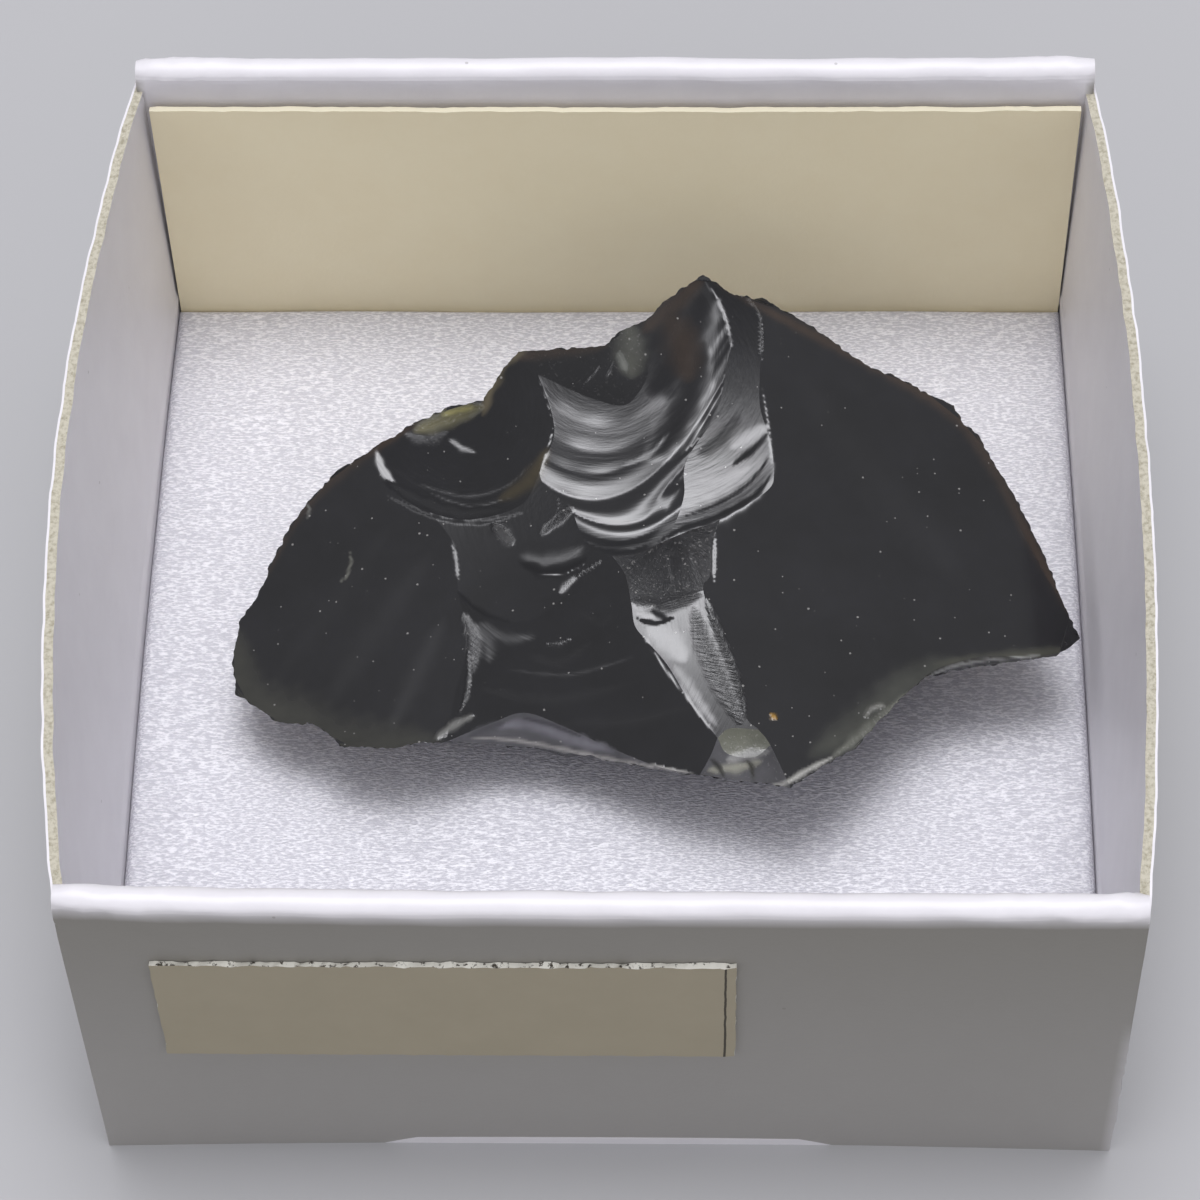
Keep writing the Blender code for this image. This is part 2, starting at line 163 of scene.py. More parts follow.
def rolled_wall(name, outer, inward, sag):
    """A double wall with a round top: a block, its two long top edges beveled into one roll."""
    inner = outer + inward * ROLL
    wall = block(name, (TRAY_LEFT, min(outer, inner), 0.0), (TRAY_RIGHT, max(outer, inner), TRAY_TOP))
    for side in (outer, inner):
        bevel_edges(wall, lambda co: co.z > TRAY_TOP - 0.01 and abs(co.y - side) < 0.01, ROLL * 0.49, 6)
    cut_along(wall, 0, 120)
    cut_along(wall, 2, 40)

    def outside(co):
        """Painted shade on the outer face and both ends: it fades out over the lower part of the roll,
        eases towards the foot, and is less along the lower part of the right corner, which is worn bare."""
        outer_half = (co.y - (outer + inner) / 2) * inward < 0
        at_end = min(co.x - TRAY_LEFT, TRAY_RIGHT - co.x) < 0.01
        worn = 0.3 * min(1.0, max(0.0, (WORN_TOP - co.z) / 2.0)) if co.x > TRAY_RIGHT - 0.01 else 0.0
        below_roll = min(1.0, max(0.0, (TRAY_TOP - 0.2 - co.z) / 0.7))
        shade_eased = FOOT_SHADE_EASE * (1.0 - co.z / TRAY_TOP)
        return below_roll * (1.0 - shade_eased - worn) if outer_half or at_end else 0.0

    def soften(co):
        """The roll is pressed by hand: it wanders, sags away from its left end and is pinched at both."""
        top = max(0.0, (co.z - TRAY_TOP + 3.0) / 3.0)
        left = co.x - TRAY_LEFT
        end = min(left, TRAY_RIGHT - co.x)
        wander = noise.noise(Vector((co.x * 0.11, outer, 3.0))) * 0.08 * top
        dip = noise.noise(Vector((co.x * 0.16, outer, 9.0))) * 0.10 * top
        dip -= sag * (1.0 - 0.7 * math.exp(-left / 8.0)) * co.z / TRAY_TOP
        pinch = math.exp(-end / 0.35) * top
        middle = (outer + inner) / 2
        dent = noise.noise(Vector((co.x * 1.3, co.y * 1.3, co.z * 1.3))) * 0.12 * top * math.exp(-end / 2.5)
        dent += noise.noise(Vector((co.x * 0.5 + co.z, co.y, co.z * 0.7))) * 0.05 * top
        half = (TRAY_RIGHT - TRAY_LEFT) / 2
        hollow = 0.25 * (1.0 - ((left - half) / half) ** 2) * max(0.0, 1.0 - co.z / 8.0) * inward
        fold = noise.noise(Vector((co.x * 2.2 + co.z * 3.0, 2.0, co.z * 0.8)))
        fold *= 0.10 * math.exp(-end / 4.0) * top
        y = co.y + (middle - co.y) * 0.15 * pinch + wander + dent + fold + hollow
        torn = abs(noise.noise(Vector((outer, 4.0, co.z * 1.9)))) * 0.15 * (TRAY_RIGHT - co.x < 0.01)
        torn *= min(1.0, max(0.0, (WORN_TOP - co.z) / 2.0))
        return co.x + torn, y, co.z + dip - 0.12 * pinch + dent * 0.6

    mark_painted_shade(wall, outside)
    reshape(wall, soften)
    return wall


def side_wall(name, outer, side, swell):
    """A single ply wall that swells outwards, with a slightly ragged cut along its top."""
    inner = outer - side * BOARD
    wall = block(name, (min(outer, inner), TRAY_FRONT, 0.0), (max(outer, inner), TRAY_BACK, SIDE_TOP))
    cut_along(wall, 1, 130)
    cut_along(wall, 2, 60)
    cut_along(wall, 0, 4)
    middle = (TRAY_FRONT + TRAY_BACK) / 2
    half = (TRAY_BACK - TRAY_FRONT) / 2
    for face in wall.data.polygons:
        if face.normal.z > 0.7 and (face.center.x / MM - (outer + inner) / 2) * side < BOARD * 0.32:
            face.material_index = 1

    def outside(co):
        """Painted shade on the outer face and both ends, up to the cut, and less towards the foot."""
        outer_face = abs(co.x - outer) < 0.01 or abs(co.y - middle) > half - 0.01
        below_cut = min(1.0, max(0.0, (SIDE_TOP - 0.1 - co.z) / 0.5))
        return below_cut * (1.0 - FOOT_SHADE_EASE * (1.0 - co.z / TRAY_TOP)) if outer_face else 0.0

    mark_painted_shade(wall, outside)

    def swell_out(co):
        """The ply swells most at its cut top, which wavers, and is scored across near its foot."""
        across = max(0.0, 1.0 - ((co.y - middle) / half) ** 2)
        x = co.x + side * swell * across * (co.z / SIDE_TOP) ** 1.3
        top = max(0.0, (co.z - SIDE_TOP + 0.8) / 0.8)
        ragged = noise.noise(Vector((co.x * 4.0, co.y * 1.6, 5.0))) * 0.07 * top
        wave = noise.noise(Vector((co.y * 0.13, side, 1.0))) * 0.18 * top
        fray = noise.noise(Vector((co.y * 0.9, co.z * 0.8, side))) * 0.06 * top
        score = 0.10 * math.exp(-((co.z - SCORE_RISE) / 0.22) ** 2) if abs(co.x - inner) < 0.01 else 0.0
        tuck = 0.06 if abs(co.y - middle) > half - 0.01 else 0.0
        y = co.y + math.copysign(tuck, middle - co.y)
        z = co.z + ragged + wave - (1.0 - across) ** 6 * 0.3 * top
        return x + fray - side * score * (across > 0), y, z

    reshape(wall, swell_out)
    return wall


# A calendered, faintly mottled coating over a little fibre, with painted shade greying its outside, more
# near the top than at the foot
clay, shader = new_material("clay coated board", Roughness=0.42, Specular_IOR_Level=0.45)
place = add(clay, "ShaderNodeTexCoord").outputs["Object"]
mottle = add(clay, "ShaderNodeTexNoise", [(place, "Vector")], Scale=500.0, Detail=4.0, Roughness=0.6)
fibre = add(clay, "ShaderNodeTexNoise", [(place, "Vector")], Scale=4000.0, Detail=3.0, Roughness=0.55)
tone = add(clay, "ShaderNodeMix", [(mottle.outputs["Fac"], 0)], data_type="RGBA")
tone.inputs[6].default_value = hex_colour(CLAY_SHADE)
tone.inputs[7].default_value = hex_colour(CLAY_WHITE)
# Painted shade on the box's outside, read from the amount marked on each wall
painted_shade_map = add(clay, "ShaderNodeAttribute", attribute_name="painted_shade").outputs["Fac"]
painted_shade = add(clay, "ShaderNodeMix", [(painted_shade_map, 0), (tone.outputs[2], 6)], data_type="RGBA")
painted_shade.inputs[7].default_value = hex_colour(OUTSIDE_PAINTED_SHADE)
# Small specks of dirt about 0.1 mm across, one in some square millimetres
dirt = add(clay, "ShaderNodeTexVoronoi", [(place, "Vector")], Scale=420.0)
speck = add(clay, "ShaderNodeMath", [(dirt.outputs["Distance"], 0)], operation="LESS_THAN")
speck.inputs[1].default_value = 0.03
some = add(clay, "ShaderNodeMath", [(speck.outputs[0], 0)], operation="MULTIPLY")
some.inputs[1].default_value = 0.35
marked = add(clay, "ShaderNodeMix", [(some.outputs[0], 0), (painted_shade.outputs[2], 6)], data_type="RGBA")
marked.inputs[7].default_value = hex_colour(DIRT)
bump = add(clay, "ShaderNodeBump", [(fibre.outputs["Fac"], "Height")], Strength=0.25, Distance=0.00003)
clay.node_tree.links.new(marked.outputs[2], shader.inputs["Base Color"])
clay.node_tree.links.new(bump.outputs["Normal"], shader.inputs["Normal"])

# Recycled pulp laid bare by the cut: dull, rough, and full of flecks about 0.15 mm across
core, shader = new_material("raw board core", Roughness=0.9, Specular_IOR_Level=0.2)
place = add(core, "ShaderNodeTexCoord").outputs["Object"]
fleck = add(core, "ShaderNodeTexNoise", [(place, "Vector")], Scale=5200.0, Detail=4.0, Roughness=0.7)
ramp = add(core, "ShaderNodeValToRGB", [(fleck.outputs["Fac"], "Fac")])
ramp.color_ramp.elements[0].position = 0.34
ramp.color_ramp.elements[0].color = hex_colour(BOARD_CORE_DARK)
ramp.color_ramp.elements[1].position = 0.56
ramp.color_ramp.elements[1].color = hex_colour(BOARD_CORE)
bump = add(core, "ShaderNodeBump", [(fleck.outputs["Fac"], "Height")], Strength=0.6, Distance=0.00006)
core.node_tree.links.new(ramp.outputs["Color"], shader.inputs["Base Color"])
core.node_tree.links.new(bump.outputs["Normal"], shader.inputs["Normal"])

walls = [
    block("tray_floor", (TRAY_LEFT + 0.2, TRAY_FRONT + 0.2, 0.0),
          (TRAY_RIGHT - 0.2, TRAY_BACK - 0.2, FLOOR_BOARD)),
    rolled_wall("tray_front", TRAY_FRONT, 1.0, FRONT_SAG),
    rolled_wall("tray_back", TRAY_BACK, -1.0, 0.0),
    side_wall("tray_left", TRAY_LEFT, -1.0, SIDE_BOW_LEFT),
    side_wall("tray_right", TRAY_RIGHT, 1.0, SIDE_BOW_RIGHT),
]
bpy.ops.object.select_all(action="DESELECT")
for wall in walls:
    wall.data.materials.append(clay)
    wall.data.materials.append(core)
    wall.select_set(True)
tray = walls[1]
bpy.context.view_layer.objects.active = tray
bpy.ops.object.join()
tray.name = "card_tray"
bpy.ops.object.shade_smooth_by_angle(angle=math.radians(40))
tray.select_set(False)
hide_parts("tray")
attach(tray, "root")


# Foam pad
# A slab of white polyethylene foam, cut from sheet, that fills the tray's floor. Its skin is a mass of
# tiny flattened cells, drawn out across the box, and each one glints.
PAD_LOW, PAD_HIGH = (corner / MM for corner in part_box("foam_pad"))
PAD_EDGE = 0.4
PAD_SQUEEZE = 0.28
FOAM_WHITE = "F5F4F9"
FOAM_HOLLOW_SHADE = "CBCAD2"

pad = block("foam_sheet", PAD_LOW, PAD_HIGH)
bevel_edges(pad, lambda co: co.z > PAD_HIGH.z - 0.01, PAD_EDGE, 4)
cut_along(pad, 0, 60)
cut_along(pad, 1, 60)


def foam_lie(co):
    """The sheet lies a little unevenly, and its cut sides press against the walls and follow their bow."""
    top = max(0.0, (co.z - PAD_LOW.z) / (PAD_HIGH.z - PAD_LOW.z))
    along = (co.y - (TRAY_FRONT + TRAY_BACK) / 2) / ((TRAY_BACK - TRAY_FRONT) / 2)
    across = (co.x - (PAD_LOW.x + PAD_HIGH.x) / 2) / ((PAD_HIGH.x - PAD_LOW.x) / 2)
    bow = (SIDE_BOW_LEFT if across < 0 else SIDE_BOW_RIGHT) * (1.0 - along * along)
    out = PAD_SQUEEZE + bow * (co.z / SIDE_TOP) ** 1.3
    x = co.x + across * abs(across) ** 3 * out
    deep = (co.y - (PAD_LOW.y + PAD_HIGH.y) / 2) / ((PAD_HIGH.y - PAD_LOW.y) / 2)
    y = co.y + deep * abs(deep) ** 3 * PAD_SQUEEZE
    return x, y, co.z + noise.noise(Vector((co.x * 0.12, co.y * 0.12, 7.0))) * 0.12 * top


reshape(pad, foam_lie)
bpy.ops.object.shade_smooth_by_angle(angle=math.radians(50))

# A skin of cells about 0.08 mm across, drawn out to about 0.3 mm along X: the whitest cells are painted
# glints and the greyest painted shade in their hollows
foam, shader = new_material("polyethylene foam skin", Roughness=0.3, Specular_IOR_Level=0.6)
place = add(foam, "ShaderNodeTexCoord").outputs["Object"]
drawn_out = add(foam, "ShaderNodeMapping", [(place, "Vector")], Scale=(0.3, 1.0, 1.0))
cells = add(foam, "ShaderNodeTexNoise", [(drawn_out.outputs[0], "Vector")], Scale=13000.0, Detail=2.0,
            Roughness=0.6)
dents = add(foam, "ShaderNodeTexNoise", [(place, "Vector")], Scale=2200.0, Detail=3.0, Roughness=0.6)
height = add(foam, "ShaderNodeMath", [(cells.outputs["Fac"], 0), (dents.outputs["Fac"], 1)],
             operation="ADD")
bump = add(foam, "ShaderNodeBump", [(height.outputs[0], "Height")], Strength=0.9, Distance=0.00007)
# Painted glints and shade: the cells' colour runs from the greyed hollow tone to white
painted_glint = add(foam, "ShaderNodeMapRange", [(cells.outputs["Fac"], "Value")])
painted_glint.inputs["From Min"].default_value = 0.44
painted_glint.inputs["From Max"].default_value = 0.62
tone = add(foam, "ShaderNodeMix", [(painted_glint.outputs["Result"], 0)], data_type="RGBA")
tone.inputs[6].default_value = hex_colour(FOAM_HOLLOW_SHADE)
tone.inputs[7].default_value = hex_colour(FOAM_WHITE)
foam.node_tree.links.new(tone.outputs[2], shader.inputs["Base Color"])
foam.node_tree.links.new(bump.outputs["Normal"], shader.inputs["Normal"])
pad.data.materials.append(foam)
pad.select_set(False)
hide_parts("foam_pad")
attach(pad, "root")


# Back card
# A slip of cream paper card cut by hand to the box's width. It stands on edge between the pad and the
# back wall, and its cut top shows as a thin pale line.
CARD_LOW, CARD_HIGH = (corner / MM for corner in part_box("back_card"))
CARD_CREAM = "FFF5D4"
CARD_CREAM_DEEP = "F9ECC8"
CARD_CUT = "DCD5BC"
CARD_SPARE = 0.4

card = block("cream_card", (CARD_LOW.x - CARD_SPARE, CARD_LOW.y, CARD_LOW.z),
             (CARD_HIGH.x + CARD_SPARE, CARD_HIGH.y, CARD_HIGH.z))
cut_along(card, 0, 240)
cut_along(card, 2, 20)


def card_stand(co):
    """The card bows very slightly forwards, and its top was cut by hand."""
    middle = (CARD_LOW.x + CARD_HIGH.x) / 2
    across = 1.0 - ((co.x - middle) / (CARD_HIGH.x - middle)) ** 2
    top = (co.z - CARD_LOW.z) / (CARD_HIGH.z - CARD_LOW.z)
    rough = noise.noise(Vector((co.x * 0.5, 2.0, 4.0)))
    rough += 0.7 * noise.noise(Vector((co.x * 3.0, 2.0, co.y * 4.0)))
    rough *= 0.08 * max(0.0, top * 4.0 - 3.0)
    return co.x, co.y - 0.05 * across * top, co.z + rough


reshape(card, card_stand)
# Uncoated dyed paper: no shine, fibre about 0.2 mm across under a cloudy tone a few millimetres wide
paper, shader = new_material("cream paper card", Roughness=0.78, Specular_IOR_Level=0.3)
place = add(paper, "ShaderNodeTexCoord").outputs["Object"]
fibre = add(paper, "ShaderNodeTexNoise", [(place, "Vector")], Scale=5000.0, Detail=4.0, Roughness=0.6)
cloud = add(paper, "ShaderNodeTexNoise", [(place, "Vector")], Scale=300.0, Detail=5.0, Roughness=0.7)
tone = add(paper, "ShaderNodeMix", [(cloud.outputs["Fac"], 0)], data_type="RGBA")
tone.inputs[6].default_value = hex_colour(CARD_CREAM_DEEP)
tone.inputs[7].default_value = hex_colour(CARD_CREAM)
bump = add(paper, "ShaderNodeBump", [(fibre.outputs["Fac"], "Height")], Strength=0.3, Distance=0.00003)
paper.node_tree.links.new(tone.outputs[2], shader.inputs["Base Color"])
paper.node_tree.links.new(bump.outputs["Normal"], shader.inputs["Normal"])
# Its cut edge is paler and duller than its face
cut_paper, shader = new_material("cut paper edge", Base_Color=hex_colour(CARD_CUT), Roughness=0.85)
card.data.materials.append(paper)
card.data.materials.append(cut_paper)
for face in card.data.polygons:
    if abs(face.normal.y) < 0.5:
        face.material_index = 1
card.select_set(False)
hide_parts("back_card")
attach(card, "root")


# Front sticker
# A cream paper slip stuck on the front wall. It was cut out with scissors, so its white core stands up
# rough along the top, and one thin printed rule is left near its right end.
STICKER_LOW, STICKER_HIGH = (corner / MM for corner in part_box("front_sticker"))
STICKER_PLY = 0.24
STICKER_RULE = 0.35
STICKER_RULE_WIDTH = 0.09
RULE_INK = "4A453D"
# Painted shade: the sticker's two creams are darkened, like the front wall under it
STICKER_CREAM_SHADED = "A89F8B"
STICKER_CREAM_DEEP_SHADED = "9E9682"
STICKER_CORE = "E4E2D8"

sticker = block("paper_sticker", (STICKER_LOW.x, TRAY_FRONT - STICKER_PLY, STICKER_LOW.z),
                (STICKER_HIGH.x, TRAY_FRONT - 0.02, STICKER_HIGH.z))
cut_along(sticker, 0, 260)
cut_along(sticker, 2, 24)
for face in sticker.data.polygons:
    if abs(face.normal.y) < 0.5:
        face.material_index = 1


def sticker_lie(co):
    """Scissor marks along its four edges, and a slight lift at the top."""
    near_top = max(0.0, 1.0 - (STICKER_HIGH.z - co.z) / 0.5)
    near_bottom = max(0.0, 1.0 - (co.z - STICKER_LOW.z) / 0.5)
    rough = noise.noise(Vector((co.x * 1.7, 8.0, co.y * 5.0))) * 0.10
    rough += noise.noise(Vector((co.x * 5.0, 3.0, co.y * 5.0))) * 0.10
    side = min(co.x - STICKER_LOW.x, STICKER_HIGH.x - co.x)
    ragged = noise.noise(Vector((3.0, co.z * 2.0, co.y * 5.0))) * 0.06 * max(0.0, 1.0 - side / 0.4)
    return co.x + ragged, co.y, co.z + rough * near_top + rough * 0.5 * near_bottom - 0.05 * near_top


reshape(sticker, sticker_lie)
# Uncoated cream paper, a little cloudy, its cream darkened with painted shade like the wall under it
slip, shader = new_material("cream sticker paper", Roughness=0.75, Specular_IOR_Level=0.3)
place = add(slip, "ShaderNodeTexCoord").outputs["Object"]
cloud = add(slip, "ShaderNodeTexNoise", [(place, "Vector")], Scale=350.0, Detail=5.0, Roughness=0.7)
tone = add(slip, "ShaderNodeMix", [(cloud.outputs["Fac"], 0)], data_type="RGBA")
tone.inputs[6].default_value = hex_colour(STICKER_CREAM_DEEP_SHADED)
tone.inputs[7].default_value = hex_colour(STICKER_CREAM_SHADED)
# The printed rule: a dark line at one place along X, its ink broken up by the paper
across = add(slip, "ShaderNodeSeparateXYZ", [(place, 0)])
wobble = add(slip, "ShaderNodeTexNoise", [(place, "Vector")], Scale=1500.0, Detail=2.0)
shifted = add(slip, "ShaderNodeMath", [(wobble.outputs["Fac"], 0), (across.outputs[0], 2)],
              operation="MULTIPLY_ADD")
shifted.inputs[1].default_value = 0.00008
apart = add(slip, "ShaderNodeMath", [(shifted.outputs[0], 0)], operation="SUBTRACT")
apart.inputs[1].default_value = (STICKER_HIGH.x - STICKER_RULE) * MM
away = add(slip, "ShaderNodeMath", [(apart.outputs[0], 0)], operation="ABSOLUTE")
inked = add(slip, "ShaderNodeMath", [(away.outputs[0], 0)], operation="LESS_THAN")
inked.inputs[1].default_value = STICKER_RULE_WIDTH / 2 * MM
ruled = add(slip, "ShaderNodeMix", [(inked.outputs[0], 0), (tone.outputs[2], 6)], data_type="RGBA")
ruled.inputs[7].default_value = hex_colour(RULE_INK)
slip.node_tree.links.new(ruled.outputs[2], shader.inputs["Base Color"])

# Its torn core: bright fibre, with dark flecks about 0.15 mm across in the rule's ink colour
torn, shader = new_material("torn sticker core", Roughness=0.9, Specular_IOR_Level=0.2)
place = add(torn, "ShaderNodeTexCoord").outputs["Object"]
flecks = add(torn, "ShaderNodeTexNoise", [(place, "Vector")], Scale=5000.0, Detail=3.0, Roughness=0.6)
ramp = add(torn, "ShaderNodeValToRGB", [(flecks.outputs["Fac"], "Fac")])
ramp.color_ramp.elements[0].position = 0.36
ramp.color_ramp.elements[0].color = hex_colour(RULE_INK)
ramp.color_ramp.elements[1].position = 0.44
ramp.color_ramp.elements[1].color = hex_colour(STICKER_CORE)
torn.node_tree.links.new(ramp.outputs["Color"], shader.inputs["Base Color"])
sticker.data.materials.append(slip)
sticker.data.materials.append(torn)
sticker.select_set(False)
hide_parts("front_sticker")
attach(sticker, "root")


# Obsidian chunk
# One lump of black volcanic glass, knapped all round. Each blow took off a flake and left a hollow scar
# with ripples round the point that was struck. Thin edges let a little brown or olive light through.
# The upper side is drawn as seen from one point in front of the box and above it: so many millimetres
# right of and above the drawing's middle, on a plane square to the view.
EYE = Vector((3.7, -96.4, 150.4))
EYE_DOWN = math.radians(55.66)
EYE_TURN = math.radians(2.29)
EYE_ROLL = math.radians(-1.75)
DRAWING_DISTANCE = 174.0
STONE_GRAIN = 0.105
APEX_HEIGHT = 14.0
RIM_CHIP = 0.1
STONE_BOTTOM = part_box("obsidian_chunk")[0].z / MM

APEX = (4.3, 13.55)
RIGHT_TIP = (20.0, -1.6)
FRONT_TIP = (7.95, -7.85)
LEFT_TIP = (-15.3, -2.5)
OUTLINE = (
    APEX, (5.6, 12.7), (6.0, 12.65), (6.75, 12.6), (7.9, 11.95), (9.4, 11.0), (10.6, 10.1),
    (11.4, 9.65), (12.75, 9.1), (13.95, 8.45), (14.75, 8.1), (15.1, 7.4), (15.8, 6.85),
    (16.45, 5.65), (17.1, 4.6), (17.8, 3.3), (18.45, 1.95), (19.25, 0.0), RIGHT_TIP,
    (19.0, -2.35), (17.0, -2.6), (15.4, -2.85), (13.55, -3.2), (12.75, -3.9), (11.55, -5.1),
    (10.65, -6.2), (9.3, -6.9), FRONT_TIP, (5.4, -7.45), (4.15, -7.3), (2.45, -7.1),
    (0.6, -6.75), (-2.05, -6.25), (-5.0, -6.0), (-6.4, -5.9), (-7.8, -6.0), (-8.4, -6.15),
    (-8.85, -6.2), (-9.8, -6.15), (-10.85, -6.1), (-11.25, -5.65), (-11.8, -5.25),
    (-12.2, -5.1), (-12.9, -5.15), (-13.65, -5.0), (-14.1, -4.6), (-15.2, -3.95), LEFT_TIP,
    (-15.2, -1.9), (-14.95, -0.75), (-14.45, -0.1), (-13.9, 0.9), (-13.85, 1.3), (-12.85, 3.2),
    (-11.9, 4.4), (-10.95, 5.4), (-9.2, 6.5), (-7.4, 7.55), (-6.2, 8.1), (-4.85, 8.3),
    (-4.3, 9.25), (-3.4, 10.35), (0.2, 10.6), (0.75, 11.15), (1.9, 11.65), (2.6, 12.4),
)
BOWL_FOOT = (2.55, 2.4)
SCOOP_END = (-2.5, 5.3)
NOTCH = (-3.4, 10.35)
HOLLOW_FOOT = (-0.4, 2.15)
BAND_TOP = (1.3, -0.1)
BAND_FOOT = (4.9, -5.75)
LIP_LEFT = (-6.4, -5.9)
ARC_START = (-5.9, 0.3)
RIDGES = (
    # The two edges that come down from the apex, on each side of the crescent
    (APEX, (4.9, 12.7), (5.45, 10.9), (5.3, 9.9), (4.85, 7.8), (3.6, 5.8), (3.5, 4.35), (3.1, 3.15),
     BOWL_FOOT),
    ((6.0, 12.65), (6.6, 11.9), (6.7, 10.45), (6.65, 8.2), (7.05, 6.75), (7.25, 5.3), (6.9, 4.5),
     (5.0, 3.35), (3.75, 2.9), BOWL_FOOT),
    # Left and lower edge of the deep bowl, and the dark lip at its top
    (NOTCH, (-2.6, 9.4), (-1.9, 7.1), SCOOP_END, (-2.0, 4.5), (-1.25, 3.85), (-0.85, 2.9), HOLLOW_FOOT,
     (0.5, 1.85), (1.65, 1.95), BOWL_FOOT),
    ((-2.6, 9.4), (-0.6, 8.5), (0.85, 8.1), (1.5, 8.5), (2.0, 9.5), (1.65, 10.6), (1.9, 11.65)),
    # Rim of the upper left scoop
    ((-9.2, 6.5), (-9.3, 5.75), (-8.95, 4.8), (-8.1, 4.15), (-7.1, 3.65), (-5.4, 3.35), (-3.3, 3.95),
     SCOOP_END),
    # Right edge of the left facet
    ((-7.1, 3.65), (-6.45, 2.9), (-6.05, 2.1), ARC_START, (-5.6, -1.05), (-5.6, -2.3),
     (-6.05, -3.95), LIP_LEFT),
    # Arc under the middle hollow
    (ARC_START, (-5.0, -0.5), (-3.95, -0.9), (-2.7, -0.75), (-1.65, 0.0), (-1.0, 0.85), HOLLOW_FOOT),
    # Edges round the bright band
    ((0.5, 1.85), (1.05, 1.05), BAND_TOP, (1.45, -1.05), (1.9, -1.65), (2.8, -2.7), (3.75, -4.25),
     BAND_FOOT),
    ((5.0, 3.35), (4.65, 2.3), (4.6, 1.05), (4.3, 0.4), (5.0, -1.65), (5.65, -2.9), (6.05, -4.8),
     (6.6, -5.4), (7.1, -6.05), FRONT_TIP),
    (BAND_TOP, (2.3, -0.2), (4.3, 0.4)),
    (BAND_FOOT, (5.4, -5.35), (6.6, -5.4)),
    (BAND_FOOT, (5.3, -6.4), (6.4, -6.55), (7.1, -6.05)),
    (BAND_FOOT, (4.6, -6.5), (4.15, -7.3)),
    # Top edges of the two slivers of steep front face
    (LIP_LEFT, (-4.45, -5.1), (-3.1, -4.7), (-1.45, -5.3), (0.2, -6.05), (2.3, -6.9), (4.15, -7.3)),
    ((12.75, -3.9), (14.0, -2.9), (15.95, -2.35), (17.9, -2.4), (19.25, -2.15), RIGHT_TIP),
)
GLASS_BLACK = "131316"
# The steep slivers' grey is a painted reflection of the bright pad in front of them
SLIVER_REFLECTION_GREY = "555557"
DUST = "B8B6B2"


def smooth_run(points, grain):
    """A curve through the points (Catmull-Rom), in steps no longer than the grain."""
    points = [np.array(p) for p in points]
    ends = [2 * points[0] - points[1]] + points + [2 * points[-1] - points[-2]]
    run = [points[0]]
    for a, b, c, d in zip(ends, ends[1:], ends[2:], ends[3:]):
        steps = max(1, round(float(np.linalg.norm(c - b)) / grain))
        for step in range(1, steps + 1):
            t = step / steps
            run.append(0.5 * (2 * b + (c - a) * t + (2 * a - 5 * b + 4 * c - d) * t * t
                              + (3 * b - a - 3 * c + d) * t ** 3))
    return run


def facet(seed, slope, growth=(0.0, 0.0), struck=(0.0, 20.0), fine=0.0, rough=0.0, tint=GLASS_BLACK):
    """A scar: a point in it, its slope rightwards and backwards, how fast each slope grows per millimetre
    rightwards and backwards, the point that was struck, its streaks, its roughness and its colour."""
    return dict(seed=np.array(seed), slope=slope, growth=growth, struck=np.array(struck), fine=fine,
                rough=rough, tint=tint)


# A slope backwards of about 0.24 mirrors the softbox to the drawing's eye
FACETS = (
    facet((12.0, 3.0), (-0.14, 0.00), struck=(6.0, 12.6), fine=0.05),
    facet((-10.0, 1.0), (0.17, 0.02), struck=(-4.0, 8.0), fine=0.15),
    facet((1.2, 5.5), (0.03, 0.0), (0.045, 0.0), struck=(0.1, 10.6), fine=0.6),
    facet((0.5, 9.5), (0.05, 0.85), (0.05, 0.05), struck=(0.5, 10.8), fine=0.5, rough=0.1),
    facet((5.9, 7.0), (0.03, 0.40), (0.01, 0.04), struck=(2.5, 9.5), fine=1.0),
    facet((-5.5, 5.5), (0.08, 0.58), (0.03, 0.02), struck=(-5.6, 8.0), fine=0.6),
    facet((-3.5, 1.5), (0.17, 0.05), (0.02, 0.02), struck=(-1.7, 3.8), fine=0.5),
    facet((-1.0, -3.0), (0.28, 0.40), struck=(-0.6, 3.5), fine=0.6),
    facet((3.0, 1.2), (0.10, 0.55), (0.05, 0.15), struck=(3.0, 3.0), fine=1.0, rough=0.6),
    facet((3.8, -2.0), (0.02, 0.33), (0.015, -0.02), struck=(-2.0, -1.5), fine=0.8),
    facet((6.1, -5.95), (0.0, 0.5), (0.0, 0.2), rough=0.4, tint="5C5D52"),
    facet((4.8, -7.0), (0.1, 1.2), rough=0.3, tint=SLIVER_REFLECTION_GREY),
    facet((-1.5, -5.9), (0.1, 3.2), struck=(-4.0, -2.0), fine=0.8, tint=SLIVER_REFLECTION_GREY),
    facet((16.4, -2.55), (0.0, 2.6), struck=(15.0, 2.0), fine=0.8, tint=SLIVER_REFLECTION_GREY),
)
# The bowl's ripples. Each ends below in a darker trough: how far up the drawing the troughs lie, the
# slope backwards at the crest above each and in it, and where along each its lowest point comes
RIPPLE_PLACE = (1.4, 1.7, 2.0, 2.4, 2.95, 4.0, 5.1, 6.0, 7.0, 8.4, 12.0)
RIPPLE_CREST = (0.46, 0.45, 0.44, 0.42, 0.30, 0.29, 0.38, 0.37, 0.34, 0.46, 0.80)
RIPPLE_TROUGH = (0.62, 0.62, 0.62, 0.62, -0.05, -0.05, 0.52, 0.48, 0.41, 0.48, 0.84)
RIPPLE_MIDDLE = (0.8, 0.8, 0.8, 0.7, 0.9, -0.3, -0.3, -0.1, 0.2, 0.2, 0.2)
# How fast each ripple curves up from that point, how fast its crest dulls to both sides, and which facet
# the bowl is
RIPPLE_CURVE = 0.17
RIPPLE_FADE = 0.008
BOWL = 2


def stroke(path, width, lean=None, tint=None, rough=None):
    """A small chip, ledge, seam or glint along a line, which fades towards its two ends: how wide it is on
    each side of its middle, which way it leans, its colour and its roughness."""
    return dict(path=smooth_run(path, 0.5), width=width, lean=lean, tint=tint, rough=rough)


